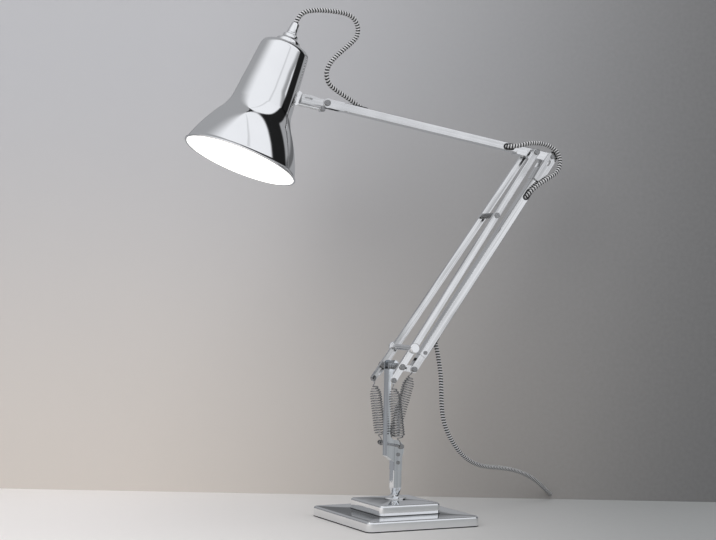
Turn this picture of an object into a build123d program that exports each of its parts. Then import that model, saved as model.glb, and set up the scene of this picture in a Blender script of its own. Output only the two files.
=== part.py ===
"""A sprung desk lamp on a stepped square base: two arms that stay parallel through a crank and a rear link.

Millimetres, +Z up. The origin is the centre of the base's underside. The arms lie in the XZ plane, the shade points
to -X, the elbow leans to +X, and the near side is -Y.
"""

from build123d import *
from math import acos, atan2, cos, degrees, hypot, pi, radians, sin, sqrt, tan
import os

# Base
BASE_SIDE = 170.0
BASE_CORNER = 8.0
PAD_THICKNESS = 1.5
PAD_INSET = 1.0
LOWER_TIER_HEIGHT = 12.8
UPPER_TIER_SIDE = 92.5
UPPER_TIER_CORNER = 6.0
UPPER_TIER_HEIGHT = 14.5
TIER_EDGE = 3.0
TIER_DOME = 2.6
COVER_WALL = 1.2
WEIGHT_GAP = 0.2
COLLAR_RADIUS = 15.5
COLLAR_HEIGHT = 5.4
SPIGOT_RADIUS = 5.0
NUT_ACROSS = 15.0
NUT_HEIGHT = 5.0
WASHER_RADIUS = 11.0
WASHER_THICKNESS = 1.5

# Stem and upright
STEM_SIDE = 12.7
STEM_FOOT_RADIUS = 5.6
STEM_FOOT_TAPER = 9.0
TONGUE_BOTTOM = 70.0
TONGUE_TOP = 98.5
SHEET = 2.0
UPRIGHT_FRONT = -17.2
UPRIGHT_STRIP = 4.2
CHEEK_BACK = 9.0
STRIP_FROM = 124.0
STRIP_BELOW_SHOULDER = 28.0
STEM_RIVET_Z = 80.5
RIVET_RADIUS = 2.6

# Pivots
SHOULDER_X, SHOULDER_Z = -8.5, 212.0
ANCHOR_Z = 105.0
LOWER_LEAN = 35.8
LOWER_ARM = 374.7
UPPER_SLOPE = 8.24
UPPER_ARM = 331.5
CRANK = 32.5
TAIL = 22.2
CROSS_ROD_AT = 31.0
ARM_SPACER_AT = 260.0

# Lower arm
BAR_DEPTH = 9.5
BAR_WIDTH = 5.0
BAR_WALL = 1.2
BAR_Y_SHOULDER = 26.5
BAR_Y_ELBOW = 13.5
PIN_RADIUS = 3.0
RUNNING = 0.06
SIDE_GAP = 0.3
SPACER_RADIUS = 4.4
BOLT_HEAD_RADIUS = 4.2
BOLT_HEAD = 2.4
CROSS_ROD_RADIUS = 4.0
DISC_RADIUS = 7.2
DISC_THICKNESS = 4.2
SPRING_PIN_RADIUS = 2.0

# Crank and rear link
CRANK_PLATE = 1.4
CRANK_INNER = 2.2
CRANK_WIDTH = 9.0
LINK_WIDTH = 12.2
LINK_DEPTH = 12.0
LINK_WALL = 1.0
LINK_START = 22.0
LINK_SCREW_AT = 28.0
FOOT_DEPTH = 9.8
FOOT_SHEET = 1.1
FOOT_SLOT = 16.0
FOOT_LENGTH = 40.0
LINK_HEAD_LENGTH = 44.0
LINK_HEAD_DEPTH = 15.6
LINK_HEAD_SHEET = 1.4

# Upper arm
TUBE_SIDE = 11.8
TUBE_WALL = 1.2
TUBE_TAIL = 20.0
SADDLE_SHEET = 1.5
SADDLE_FRONT = 27.0
FORK_LENGTH = 26.0
FORK_SHEET = 1.6

# Springs
WIRE_RADIUS = 0.8
COIL_RADIUS = 7.6
COIL_END_RADIUS = 3.0
PAIR_TURNS = 20
REAR_TURNS = 26
EYE_GAP = 0.3

# Head
HEAD_ARM_DEPTH = 11.5
HEAD_ARM_WIDTH = 8.6
HEAD_PIN_RADIUS = 2.5
STAY_RADIUS = 2.1
RIM_AHEAD, RIM_BELOW = 121.806, 83.116
SHADE_TILT = 22.2
SHADE_WALL = 1.0
RIM_RADIUS = 75.9
WAIST_RADIUS = 42.6
WAIST_AT = 70.0
NECK_AT = 146.0
NECK_RADIUS = 34.6
CROWN_AT = 167.0
CROWN_RADIUS = 27.2
CAP_RADIUS = 16.3
CAP_TOP_RADIUS = 10.3
CAP_HEIGHT = 13.5
GRIP_LENGTH = 23.5
GRIP_RADIUS = 7.2
GRIP_TIP = 5.2
HOLDER_RADIUS = 19.0
HOLDER_LENGTH = 52.0
BULB_RADIUS = 29.0
BULB_NECK = 13.0

# Cord and plug
CORD_RADIUS = 3.0
CORD_ROOM = 0.15
GROMMET_RADIUS = 4.1
GROMMET_LONG = 8.4
GROMMET_LONG_FRONT = 10.5
COIL_GAP = 0.6
COIL_TURNS_IN = 3.5
COIL_TURNS_OUT = 3.75
COIL_MIDDLE = 33.0
PLUG_LENGTH = 38.0
PLUG_RADIUS = 13.5
PLUG_PIN_RADIUS = 2.0

MIDDLE_UP = (Align.CENTER, Align.CENTER, Align.MIN)


def turned(angle):
    """The unit direction in the XZ plane at this angle above +X."""
    return Vector(cos(radians(angle)), 0, sin(radians(angle)))


def member(start, angle, y=0.0):
    """Local x runs along a member from its start, local y rises from it, and extrusions go to the near side."""
    return Plane(origin=(start.X, y, start.Z), x_dir=turned(angle), z_dir=(0, -1, 0))


def across(point, y):
    """A plane that faces +Y, for pins and discs that start at this y."""
    return Plane(origin=(point.X, y, point.Z), x_dir=(1, 0, 0), z_dir=(0, 1, 0))


LOWER_ANGLE = 90 - LOWER_LEAN
SHOULDER = Vector(SHOULDER_X, 0, SHOULDER_Z)
ANCHOR = Vector(SHOULDER_X, 0, ANCHOR_Z)
LOWER_WAY = turned(LOWER_ANGLE)
ELBOW = SHOULDER + LOWER_WAY * LOWER_ARM
SPRING_TOP = SHOULDER - LOWER_WAY * TAIL
CROSS_ROD = SHOULDER + LOWER_WAY * CROSS_ROD_AT
UPPER_WAY = turned(-UPPER_SLOPE)
CRANK_END = SHOULDER + UPPER_WAY * CRANK
LINK_TOP = ELBOW + UPPER_WAY * CRANK
HEAD_PIVOT = ELBOW - UPPER_WAY * UPPER_ARM
BAR_LEAN_IN = degrees(atan2(BAR_Y_SHOULDER - BAR_Y_ELBOW, LOWER_ARM))
LOWER_TOP = PAD_THICKNESS + LOWER_TIER_HEIGHT
UPPER_TOP = LOWER_TOP + UPPER_TIER_HEIGHT
STEM_FOOT = UPPER_TOP + TIER_DOME + COLLAR_HEIGHT
RIM = HEAD_PIVOT - Vector(RIM_AHEAD, 0, RIM_BELOW)
SHADE_WAY = turned(90 - SHADE_TILT)
SHADE_OUT = turned(-SHADE_TILT)


def bar_y(along):
    """How far a lower bar's middle is from the XZ plane, this far up from the shoulder."""
    return BAR_Y_SHOULDER - (BAR_Y_SHOULDER - BAR_Y_ELBOW) * along / LOWER_ARM


def base_pad():
    with BuildPart() as pad:
        with BuildSketch():
            side = BASE_SIDE - 2 * PAD_INSET
            RectangleRounded(side, side, BASE_CORNER - PAD_INSET)
        extrude(amount=PAD_THICKNESS)
    return pad.part


def base_lower_cover():
    with BuildPart() as cover:
        with BuildSketch(Plane.XY.offset(PAD_THICKNESS)):
            RectangleRounded(BASE_SIDE, BASE_SIDE, BASE_CORNER)
        extrude(amount=LOWER_TIER_HEIGHT)
        fillet(cover.faces().sort_by(Axis.Z)[-1].edges(), TIER_EDGE)
        with BuildSketch(Plane.XY.offset(PAD_THICKNESS)):
            inner = BASE_SIDE - 2 * COVER_WALL
            RectangleRounded(inner, inner, BASE_CORNER - COVER_WALL)
        extrude(amount=LOWER_TIER_HEIGHT - COVER_WALL - TIER_EDGE / 2, mode=Mode.SUBTRACT)
        with BuildSketch(Plane.XY.offset(PAD_THICKNESS)):
            window = UPPER_TIER_SIDE - 4 * COVER_WALL
            RectangleRounded(window, window, UPPER_TIER_CORNER)
        extrude(amount=LOWER_TIER_HEIGHT, mode=Mode.SUBTRACT)
    return cover.part


def base_upper_cover():
    with BuildPart() as cover:
        with BuildSketch(Plane.XY.offset(LOWER_TOP)):
            RectangleRounded(UPPER_TIER_SIDE, UPPER_TIER_SIDE, UPPER_TIER_CORNER)
        extrude(amount=UPPER_TIER_HEIGHT)
        fillet(cover.faces().sort_by(Axis.Z)[-1].edges(), TIER_EDGE)
        with BuildSketch(Plane.XZ) as crown:
            with BuildLine():
                reach = UPPER_TIER_SIDE / 2 - TIER_EDGE
                Polyline((0, UPPER_TOP + TIER_DOME), (0, UPPER_TOP - COVER_WALL), (reach, UPPER_TOP - COVER_WALL))
                Line((reach, UPPER_TOP - COVER_WALL), (reach, UPPER_TOP))
                RadiusArc((reach, UPPER_TOP), (0, UPPER_TOP + TIER_DOME), reach * reach / (2 * TIER_DOME))
            make_face()
        revolve(axis=Axis.Z)
        with BuildSketch(Plane.XY.offset(LOWER_TOP)):
            inner = UPPER_TIER_SIDE - 2 * COVER_WALL
            RectangleRounded(inner, inner, UPPER_TIER_CORNER - COVER_WALL)
        extrude(amount=UPPER_TIER_HEIGHT - COVER_WALL - TIER_EDGE / 2, mode=Mode.SUBTRACT)
        with Locations((0, 0, LOWER_TOP)):
            Cylinder(SPIGOT_RADIUS + SHEET, 2 * UPPER_TIER_HEIGHT, align=MIDDLE_UP, mode=Mode.SUBTRACT)
    return cover.part


def base_weight():
    with BuildPart() as weight:
        with BuildSketch(Plane.XY.offset(PAD_THICKNESS)):
            slab = BASE_SIDE - 2 * (COVER_WALL + WEIGHT_GAP)
            RectangleRounded(slab, slab, BASE_CORNER - COVER_WALL)
        extrude(amount=LOWER_TIER_HEIGHT - COVER_WALL - TIER_EDGE / 2)
        with BuildSketch(Plane.XY.offset(PAD_THICKNESS)):
            block = UPPER_TIER_SIDE - 4 * COVER_WALL - 2 * WEIGHT_GAP
            RectangleRounded(block, block, UPPER_TIER_CORNER)
        extrude(amount=UPPER_TOP - PAD_THICKNESS - COVER_WALL - TIER_EDGE / 2)
        with Locations((0, 0, PAD_THICKNESS)):
            Cylinder(SPIGOT_RADIUS + RUNNING, 2 * BASE_SIDE, align=MIDDLE_UP, mode=Mode.SUBTRACT)
            Cylinder(WASHER_RADIUS + SHEET, nut_seat() - PAD_THICKNESS, align=MIDDLE_UP, mode=Mode.SUBTRACT)
    return weight.part


def nut_seat():
    """The height of the face inside the weight that the washer bears on."""
    return PAD_THICKNESS + NUT_HEIGHT + WASHER_THICKNESS + SHEET


def base_collar():
    low = UPPER_TOP + TIER_DOME
    with BuildPart() as collar:
        with BuildSketch(Plane.XZ):
            with BuildLine():
                bore = SPIGOT_RADIUS + RUNNING
                Line((bore, low), (COLLAR_RADIUS, low))
                Line((COLLAR_RADIUS, low), (COLLAR_RADIUS, low + 1.0))
                RadiusArc((COLLAR_RADIUS, low + 1.0), (STEM_FOOT_RADIUS + 1.0, low + COLLAR_HEIGHT), 14.0)
                Polyline((STEM_FOOT_RADIUS + 1.0, low + COLLAR_HEIGHT), (bore, low + COLLAR_HEIGHT), (bore, low))
            make_face()
        revolve(axis=Axis.Z)
    return collar.part


def stem_bar():
    with BuildPart() as bar:
        with BuildSketch(Plane.XY.offset(STEM_FOOT + SIDE_GAP)):
            Circle(STEM_FOOT_RADIUS)
        with BuildSketch(Plane.XY.offset(STEM_FOOT + SIDE_GAP + STEM_FOOT_TAPER)):
            RectangleRounded(STEM_SIDE, STEM_SIDE, 1.2)
        loft()
        with BuildSketch(Plane.XY.offset(STEM_FOOT + SIDE_GAP + STEM_FOOT_TAPER)):
            RectangleRounded(STEM_SIDE, STEM_SIDE, 1.2)
        extrude(until=None, amount=TONGUE_BOTTOM - STEM_FOOT - SIDE_GAP - STEM_FOOT_TAPER)
        with Locations((0, 0, TONGUE_BOTTOM)):
            Box(STEM_SIDE, STEM_SIDE - 2 * SHEET, TONGUE_TOP - TONGUE_BOTTOM, align=MIDDLE_UP)
        with Locations((0, 0, nut_seat() - WASHER_THICKNESS - NUT_HEIGHT)):
            Cylinder(SPIGOT_RADIUS, STEM_FOOT + SIDE_GAP - nut_seat() + WASHER_THICKNESS + NUT_HEIGHT, align=MIDDLE_UP)
        with Locations(across(Vector(0, 0, STEM_RIVET_Z), -STEM_SIDE), across(Vector(0, 0, STEM_RIVET_Z + 11), -STEM_SIDE)):
            Cylinder(RIVET_RADIUS - 0.6, 2 * STEM_SIDE, align=MIDDLE_UP, mode=Mode.SUBTRACT)
    return bar.part


def stem_washer():
    with BuildPart() as washer:
        with Locations((0, 0, nut_seat() - WASHER_THICKNESS - RUNNING)):
            Cylinder(WASHER_RADIUS, WASHER_THICKNESS, align=MIDDLE_UP)
            Cylinder(SPIGOT_RADIUS, WASHER_THICKNESS, align=MIDDLE_UP, mode=Mode.SUBTRACT)
    return washer.part


def stem_nut():
    with BuildPart() as nut:
        with BuildSketch(Plane.XY.offset(nut_seat() - WASHER_THICKNESS - RUNNING - NUT_HEIGHT)):
            RegularPolygon(NUT_ACROSS / 2, 6, major_radius=False)
            Circle(SPIGOT_RADIUS, mode=Mode.SUBTRACT)
        extrude(amount=NUT_HEIGHT)
    return nut.part


def upright():
    """A folded channel: cheeks that clasp the stem, a narrow web to the front, and ears for the shoulder bolt."""
    half = STEM_SIDE / 2
    ear = 8.2
    strip = UPRIGHT_FRONT + UPRIGHT_STRIP
    with BuildPart() as channel:
        with BuildSketch(Plane.XZ.offset(-half)):
            with BuildLine():
                Line((-half, TONGUE_BOTTOM + SIDE_GAP), (half, TONGUE_BOTTOM + SIDE_GAP))
                Line((half, TONGUE_BOTTOM + SIDE_GAP), (half, 86))
                Spline((half, 86), (CHEEK_BACK, 98), tangents=((0, 1), (0, 1)))
                ThreePointArc((CHEEK_BACK, 98), (CHEEK_BACK - 4.0, 107.5), (-3.5, 111.5))
                Spline((-3.5, 111.5), (strip, STRIP_FROM), tangents=((-1, 0), (0, 1)))
                Line((strip, STRIP_FROM), (strip, SHOULDER_Z - STRIP_BELOW_SHOULDER))
                Spline((strip, SHOULDER_Z - STRIP_BELOW_SHOULDER), (SHOULDER_X + ear * 0.94, SHOULDER_Z - ear * 0.34), tangents=((0, 1), (0.34, 0.94)))
                ThreePointArc((SHOULDER_X + ear * 0.94, SHOULDER_Z - ear * 0.34), (SHOULDER_X + ear * 0.6, SHOULDER_Z + ear * 0.8),
                              (SHOULDER_X, SHOULDER_Z + ear))
                Line((SHOULDER_X, SHOULDER_Z + ear), (UPRIGHT_FRONT + 4, SHOULDER_Z + ear))
                ThreePointArc((UPRIGHT_FRONT + 4, SHOULDER_Z + ear), (UPRIGHT_FRONT + 1.17, SHOULDER_Z + ear - 1.17),
                              (UPRIGHT_FRONT, SHOULDER_Z + ear - 4))
                Line((UPRIGHT_FRONT, SHOULDER_Z + ear - 4), (UPRIGHT_FRONT, 90))
                Line((UPRIGHT_FRONT, 90), (-half, 82))
                Line((-half, 82), (-half, TONGUE_BOTTOM + SIDE_GAP))
            make_face()
        extrude(amount=STEM_SIDE)
        with BuildSketch(Plane.XZ.offset(half - SHEET)):
            with BuildLine():
                Polyline((UPRIGHT_FRONT + SHEET, 92), (UPRIGHT_FRONT + SHEET, SHOULDER_Z - 4), (UPRIGHT_FRONT - SHEET, SHOULDER_Z - 4),
                         (UPRIGHT_FRONT - SHEET, 3 * ANCHOR_Z), (CHEEK_BACK + 9, 3 * ANCHOR_Z), (CHEEK_BACK + 9, TONGUE_BOTTOM),
                         (-half - SHEET, TONGUE_BOTTOM), (-half - SHEET, 84), (UPRIGHT_FRONT + SHEET, 92))
            make_face()
        extrude(amount=-(STEM_SIDE - 2 * SHEET), mode=Mode.SUBTRACT)
        with Locations(across(SHOULDER, -STEM_SIDE)):
            Cylinder(PIN_RADIUS + RUNNING, 2 * STEM_SIDE, align=MIDDLE_UP, mode=Mode.SUBTRACT)
        with Locations(across(ANCHOR, -STEM_SIDE)):
            Cylinder(SPRING_PIN_RADIUS, 2 * STEM_SIDE, align=MIDDLE_UP, mode=Mode.SUBTRACT)
        with Locations(across(Vector(0, 0, STEM_RIVET_Z), -STEM_SIDE), across(Vector(0, 0, STEM_RIVET_Z + 11), -STEM_SIDE)):
            Cylinder(RIVET_RADIUS - 0.6, 2 * STEM_SIDE, align=MIDDLE_UP, mode=Mode.SUBTRACT)
    return channel.part


def stem_rivets():
    half = STEM_SIDE / 2
    with BuildPart() as rivets:
        for height in (STEM_RIVET_Z, STEM_RIVET_Z + 11):
            with Locations(across(Vector(0, 0, height), -half)):
                Cylinder(RIVET_RADIUS - 0.6, STEM_SIDE, align=MIDDLE_UP)
            with Locations(across(Vector(0, 0, height), -half - 1.0), across(Vector(0, 0, height), half)):
                Cylinder(RIVET_RADIUS, 1.0, align=MIDDLE_UP)
    return rivets.part


def spring_anchor_pin():
    end = bar_y(-TAIL) + 4.0
    with BuildPart() as pin:
        with Locations(across(ANCHOR, -end)):
            Cylinder(SPRING_PIN_RADIUS, 2 * end, align=MIDDLE_UP)
        with Locations(across(ANCHOR, -end - 1.2), across(ANCHOR, end)):
            Cylinder(SPRING_PIN_RADIUS + 1.2, 1.2, align=MIDDLE_UP)
    return pin.part


def lower_bar(side):
    """One bar of the pair, a channel that is open to the inside. side is -1 near and +1 far."""
    low, high = -TAIL, LOWER_ARM
    with BuildPart() as bar:
        with BuildSketch(Plane.XY):
            with Locations(((low + high) / 2, 0)):
                SlotCenterToCenter(high - low, BAR_DEPTH)
        extrude(amount=BAR_WIDTH / 2, both=True)
        with BuildSketch(Plane.XY.offset(-BAR_WIDTH / 2)):
            with Locations(((low + high) / 2 - BAR_DEPTH, 0)):
                SlotCenterToCenter(high - low + 2 * BAR_DEPTH, BAR_DEPTH - 2 * BAR_WALL)
        extrude(amount=BAR_WIDTH - BAR_WALL, mode=Mode.SUBTRACT)
        fillet(bar.faces().sort_by(Axis.Z)[-1].edges(), 0.6)
        with Locations((low - BAR_DEPTH + 7.5, 0, -BAR_WALL)):
            Box(2 * BAR_DEPTH, 2 * BAR_DEPTH, BAR_WIDTH, mode=Mode.SUBTRACT)
    bar_plane = Plane(
        origin=(SHOULDER.X, side * BAR_Y_SHOULDER, SHOULDER.Z),
        x_dir=(LOWER_WAY * cos(radians(BAR_LEAN_IN)) - Vector(0, side * sin(radians(BAR_LEAN_IN)), 0)),
        z_dir=(LOWER_WAY * sin(radians(BAR_LEAN_IN)) + Vector(0, side * cos(radians(BAR_LEAN_IN)), 0)),
    )
    with BuildPart() as placed:
        add(bar_plane.location * bar.part)
        for along, radius in ((0, PIN_RADIUS), (high, PIN_RADIUS), (ARM_SPACER_AT, PIN_RADIUS),
                              (CROSS_ROD_AT, PIN_RADIUS), (low, SPRING_PIN_RADIUS)):
            with Locations(across(SHOULDER + LOWER_WAY * along, -2 * BAR_Y_SHOULDER)):
                Cylinder(radius, 4 * BAR_Y_SHOULDER, align=MIDDLE_UP, mode=Mode.SUBTRACT)
    return placed.part


def bar_outside(along, radius):
    """The y of a leaning bar's outer face at the edge of a disc this large."""
    return bar_y(along) + BAR_WIDTH / 2 + radius * tan(radians(BAR_LEAN_IN)) + 0.02


def bar_inside(along, radius):
    """The y where a spacer this large ends, just clear of the open side of a leaning bar."""
    return bar_y(along) - BAR_WIDTH / 2 - radius * tan(radians(BAR_LEAN_IN)) - 0.02


def through_bolt(point, along):
    """A bolt through both bars with a low round head on the near side and a nut on the far side."""
    end = bar_outside(along, BOLT_HEAD_RADIUS)
    with BuildPart() as bolt:
        with Locations(across(point, -end)):
            Cylinder(PIN_RADIUS, 2 * end, align=MIDDLE_UP)
        with Locations(across(point, -end - BOLT_HEAD)):
            Cylinder(BOLT_HEAD_RADIUS, BOLT_HEAD, align=MIDDLE_UP)
        fillet(bolt.faces().sort_by(Axis.Y)[0].edges(), 0.9)
        with BuildSketch(across(point, end)):
            RegularPolygon(BOLT_HEAD_RADIUS, 6, major_radius=False)
        extrude(amount=BOLT_HEAD)
    return bolt.part


def spacers(point, along, inner):
    """The pair of tubes on a bolt that hold the bars away from what hangs between them."""
    end = bar_inside(along, SPACER_RADIUS)
    with BuildPart() as pair:
        with Locations(across(point, -end), across(point, inner)):
            Cylinder(SPACER_RADIUS, end - inner, align=MIDDLE_UP)
            Cylinder(PIN_RADIUS, end - inner, align=MIDDLE_UP, mode=Mode.SUBTRACT)
    return pair.part


def cross_rod():
    end = bar_inside(CROSS_ROD_AT, CROSS_ROD_RADIUS)
    tip = bar_outside(CROSS_ROD_AT, DISC_RADIUS) + DISC_THICKNESS / 2
    with BuildPart() as rod:
        with Locations(across(CROSS_ROD, -end)):
            Cylinder(CROSS_ROD_RADIUS, 2 * end, align=MIDDLE_UP)
        with Locations(across(CROSS_ROD, -tip)):
            Cylinder(PIN_RADIUS, 2 * tip, align=MIDDLE_UP)
    return rod.part


def cross_rod_discs():
    inner = bar_outside(CROSS_ROD_AT, DISC_RADIUS)
    tip = inner + DISC_THICKNESS / 2
    with BuildPart() as discs:
        for side in (-1, 1):
            with Locations(across(CROSS_ROD, min(side * inner, side * (inner + DISC_THICKNESS)))):
                Cylinder(DISC_RADIUS, DISC_THICKNESS, align=MIDDLE_UP)
        fillet(discs.faces().sort_by(Axis.Y)[0].edges(), 1.6)
        fillet(discs.faces().sort_by(Axis.Y)[-1].edges(), 1.6)
        with Locations(across(CROSS_ROD, -tip)):
            Cylinder(PIN_RADIUS, 2 * tip, align=MIDDLE_UP, mode=Mode.SUBTRACT)
    return discs.part


def spring_top_pins():
    inner = bar_y(-TAIL) - BAR_WIDTH / 2
    outer = bar_outside(-TAIL, SPRING_PIN_RADIUS + 1.6)
    with BuildPart() as pins:
        for side in (-1, 1):
            with Locations(across(SPRING_TOP, min(side * inner, side * outer))):
                Cylinder(SPRING_PIN_RADIUS, outer - inner, align=MIDDLE_UP)
            with Locations(across(SPRING_TOP, min(side * outer, side * (outer + 1.6)))):
                Cylinder(SPRING_PIN_RADIUS + 1.6, 1.6, align=MIDDLE_UP)
    return pins.part


def arm_spacer():
    point = SHOULDER + LOWER_WAY * ARM_SPACER_AT
    end = bar_inside(ARM_SPACER_AT, PIN_RADIUS + 0.8)
    tip = bar_outside(ARM_SPACER_AT, PIN_RADIUS + 1.0)
    with BuildPart() as spacer:
        with Locations(across(point, -end)):
            Cylinder(PIN_RADIUS + 0.8, 2 * end, align=MIDDLE_UP)
        with Locations(across(point, -tip)):
            Cylinder(PIN_RADIUS, 2 * tip, align=MIDDLE_UP)
        with Locations(across(point, -tip - 1.0), across(point, tip)):
            Cylinder(PIN_RADIUS + 1.0, 1.0, align=MIDDLE_UP)
    return spacer.part


def crank_plate(side):
    """One cheek of the crank, between the upright's ears. side is -1 near and +1 far."""
    with BuildPart() as plate:
        with BuildSketch(member(SHOULDER, -UPPER_SLOPE, side * (CRANK_INNER + CRANK_PLATE / 2))):
            with Locations((CRANK / 2, 0)):
                SlotCenterToCenter(CRANK, CRANK_WIDTH)
            with Locations((CRANK / 2, 0)):
                SlotCenterToCenter(CRANK / 4, CRANK_WIDTH / 3, mode=Mode.SUBTRACT)
        extrude(amount=CRANK_PLATE / 2, both=True)
        with Locations(across(SHOULDER, -LINK_WIDTH)):
            Cylinder(PIN_RADIUS + RUNNING, 2 * LINK_WIDTH, align=MIDDLE_UP, mode=Mode.SUBTRACT)
        with Locations(across(CRANK_END, -LINK_WIDTH)):
            Cylinder(SPRING_PIN_RADIUS, 2 * LINK_WIDTH, align=MIDDLE_UP, mode=Mode.SUBTRACT)
    return plate.part


def crank_bush():
    with BuildPart() as bush:
        with Locations(across(SHOULDER, -CRANK_INNER)):
            Cylinder(SPACER_RADIUS, 2 * CRANK_INNER, align=MIDDLE_UP)
            Cylinder(PIN_RADIUS + RUNNING, 2 * CRANK_INNER, align=MIDDLE_UP, mode=Mode.SUBTRACT)
    return bush.part


def crank_pin():
    """The pin that the rear spring hooks over. Its ends and screw heads reach through the rear link's ears."""
    end = LINK_WIDTH / 2 - LINK_WALL + SIDE_GAP
    with BuildPart() as pin:
        with Locations(across(CRANK_END, -end)):
            Cylinder(SPRING_PIN_RADIUS, 2 * end, align=MIDDLE_UP)
        with Locations(across(CRANK_END, -end - BOLT_HEAD), across(CRANK_END, end)):
            Cylinder(BOLT_HEAD_RADIUS - 0.4, BOLT_HEAD, align=MIDDLE_UP)
        fillet(pin.faces().sort_by(Axis.Y)[0].edges(), 0.8)
        fillet(pin.faces().sort_by(Axis.Y)[-1].edges(), 0.8)
    return pin.part


def rear_link_foot():
    """The ears on the crank pin, folded from one strip, with a shank inside the rear link's tube."""
    half = LINK_WIDTH / 2 - LINK_WALL
    with BuildPart() as foot:
        with BuildSketch(member(CRANK_END, LOWER_ANGLE)):
            with Locations((FOOT_LENGTH / 2, 0)):
                Rectangle(FOOT_LENGTH, FOOT_DEPTH)
            Circle(FOOT_DEPTH / 2)
        extrude(amount=half, both=True)
        with BuildSketch(member(CRANK_END, LOWER_ANGLE)):
            Rectangle(2 * FOOT_SLOT, 2 * FOOT_DEPTH)
            with Locations((FOOT_LENGTH, 0)):
                Rectangle(2 * FOOT_LENGTH, FOOT_DEPTH - 2 * FOOT_SHEET)
        extrude(amount=half - FOOT_SHEET, both=True, mode=Mode.SUBTRACT)
        with Locations(across(CRANK_END, -LINK_WIDTH)):
            Cylinder(SPRING_PIN_RADIUS + SIDE_GAP, 2 * LINK_WIDTH, align=MIDDLE_UP, mode=Mode.SUBTRACT)
    return foot.part


def rear_link_tube():
    """A square tube with holes where the cord passes."""
    top = LOWER_ARM - LINK_HEAD_LENGTH + 12
    with BuildPart() as link:
        with BuildSketch(Plane(origin=CRANK_END + LOWER_WAY * LINK_START, x_dir=(0, 1, 0), z_dir=LOWER_WAY)):
            RectangleRounded(LINK_WIDTH, LINK_DEPTH, 1.2)
            Rectangle(LINK_WIDTH - 2 * LINK_WALL, LINK_DEPTH - 2 * LINK_WALL, mode=Mode.SUBTRACT)
        extrude(amount=top - LINK_START)
        with BuildSketch(member(CRANK_END, LOWER_ANGLE)):
            with Locations((LINK_CORD_IN, 0)):
                SlotOverall(*slot_size(GROMMET_LONG, -0.4))
        extrude(amount=LINK_WIDTH, mode=Mode.SUBTRACT)
        with BuildSketch(link_back(LINK_CORD_OUT)):
            SlotOverall(*slot_size(GROMMET_LONG, -0.4))
        extrude(amount=-2 * LINK_WALL, mode=Mode.SUBTRACT)
        add(swept_cord(ELBOW_LOOP, CORD_RADIUS + CORD_ROOM)[0], mode=Mode.SUBTRACT)
    return link.part


LINK_CORD_IN = LOWER_ARM - 68.8
LINK_CORD_OUT = 51.0
ARM_CORD_IN = -40.6


def rear_link_head():
    """The tapered fork on the top of the rear link, with its long hole, pinned to the upper arm's tail."""
    half = LINK_WIDTH / 2
    outer = TUBE_SIDE / 2 + SADDLE_SHEET + SIDE_GAP + LINK_HEAD_SHEET
    deep = LINK_HEAD_DEPTH / 2
    with BuildPart() as head:
        with BuildSketch(member(LINK_TOP, LOWER_ANGLE)):
            with BuildLine():
                Line((-LINK_HEAD_LENGTH, -LINK_DEPTH / 2 - 0.6), (-24, -deep))
                Line((-24, -deep), (0, -deep))
                ThreePointArc((0, -deep), (deep, 0), (0, deep))
                Line((0, deep), (-24, deep))
                Line((-24, deep), (-LINK_HEAD_LENGTH, LINK_DEPTH / 2 + 0.6))
                Line((-LINK_HEAD_LENGTH, LINK_DEPTH / 2 + 0.6), (-LINK_HEAD_LENGTH, -LINK_DEPTH / 2 - 0.6))
            make_face()
        extrude(amount=outer, both=True)
        with BuildSketch(member(LINK_TOP, LOWER_ANGLE)):
            with Locations((-LINK_HEAD_LENGTH / 2 - 12, 0)):
                Rectangle(LINK_HEAD_LENGTH, LINK_DEPTH)
        extrude(amount=half, both=True, mode=Mode.SUBTRACT)
        with BuildSketch(member(LINK_TOP, LOWER_ANGLE)):
            Rectangle(24 * 2, 4 * deep)
        extrude(amount=outer - LINK_HEAD_SHEET, both=True, mode=Mode.SUBTRACT)
        with BuildSketch(member(LINK_TOP, LOWER_ANGLE)):
            with Locations((-12, 0)):
                SlotOverall(9.5, 4.6)
        extrude(amount=2 * outer, both=True, mode=Mode.SUBTRACT)
        with Locations(across(LINK_TOP, -2 * outer)):
            Cylinder(SPRING_PIN_RADIUS, 4 * outer, align=MIDDLE_UP, mode=Mode.SUBTRACT)
    return head.part


def rear_link_pin():
    end = TUBE_SIDE / 2 + SADDLE_SHEET + SIDE_GAP + LINK_HEAD_SHEET
    with BuildPart() as pin:
        with Locations(across(LINK_TOP, -end)):
            Cylinder(SPRING_PIN_RADIUS, 2 * end, align=MIDDLE_UP)
        with Locations(across(LINK_TOP, -end - 1.4), across(LINK_TOP, end)):
            Cylinder(SPRING_PIN_RADIUS + 1.5, 1.4, align=MIDDLE_UP)
    return pin.part


def rear_link_screws():
    """Screw heads on both sides of the rear link that hold the cord's clamp."""
    point = CRANK_END + LOWER_WAY * LINK_SCREW_AT
    half = LINK_WIDTH / 2
    with BuildPart() as screws:
        with Locations(across(point, -half - 1.4), across(point, half)):
            Cylinder(RIVET_RADIUS, 1.4, align=MIDDLE_UP)
    return screws.part


def slot_size(half_length, extra):
    """The overall length and width of a grommet's slot, made larger or smaller all round."""
    return 2 * (half_length + extra), 2 * (GROMMET_RADIUS + extra)


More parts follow.
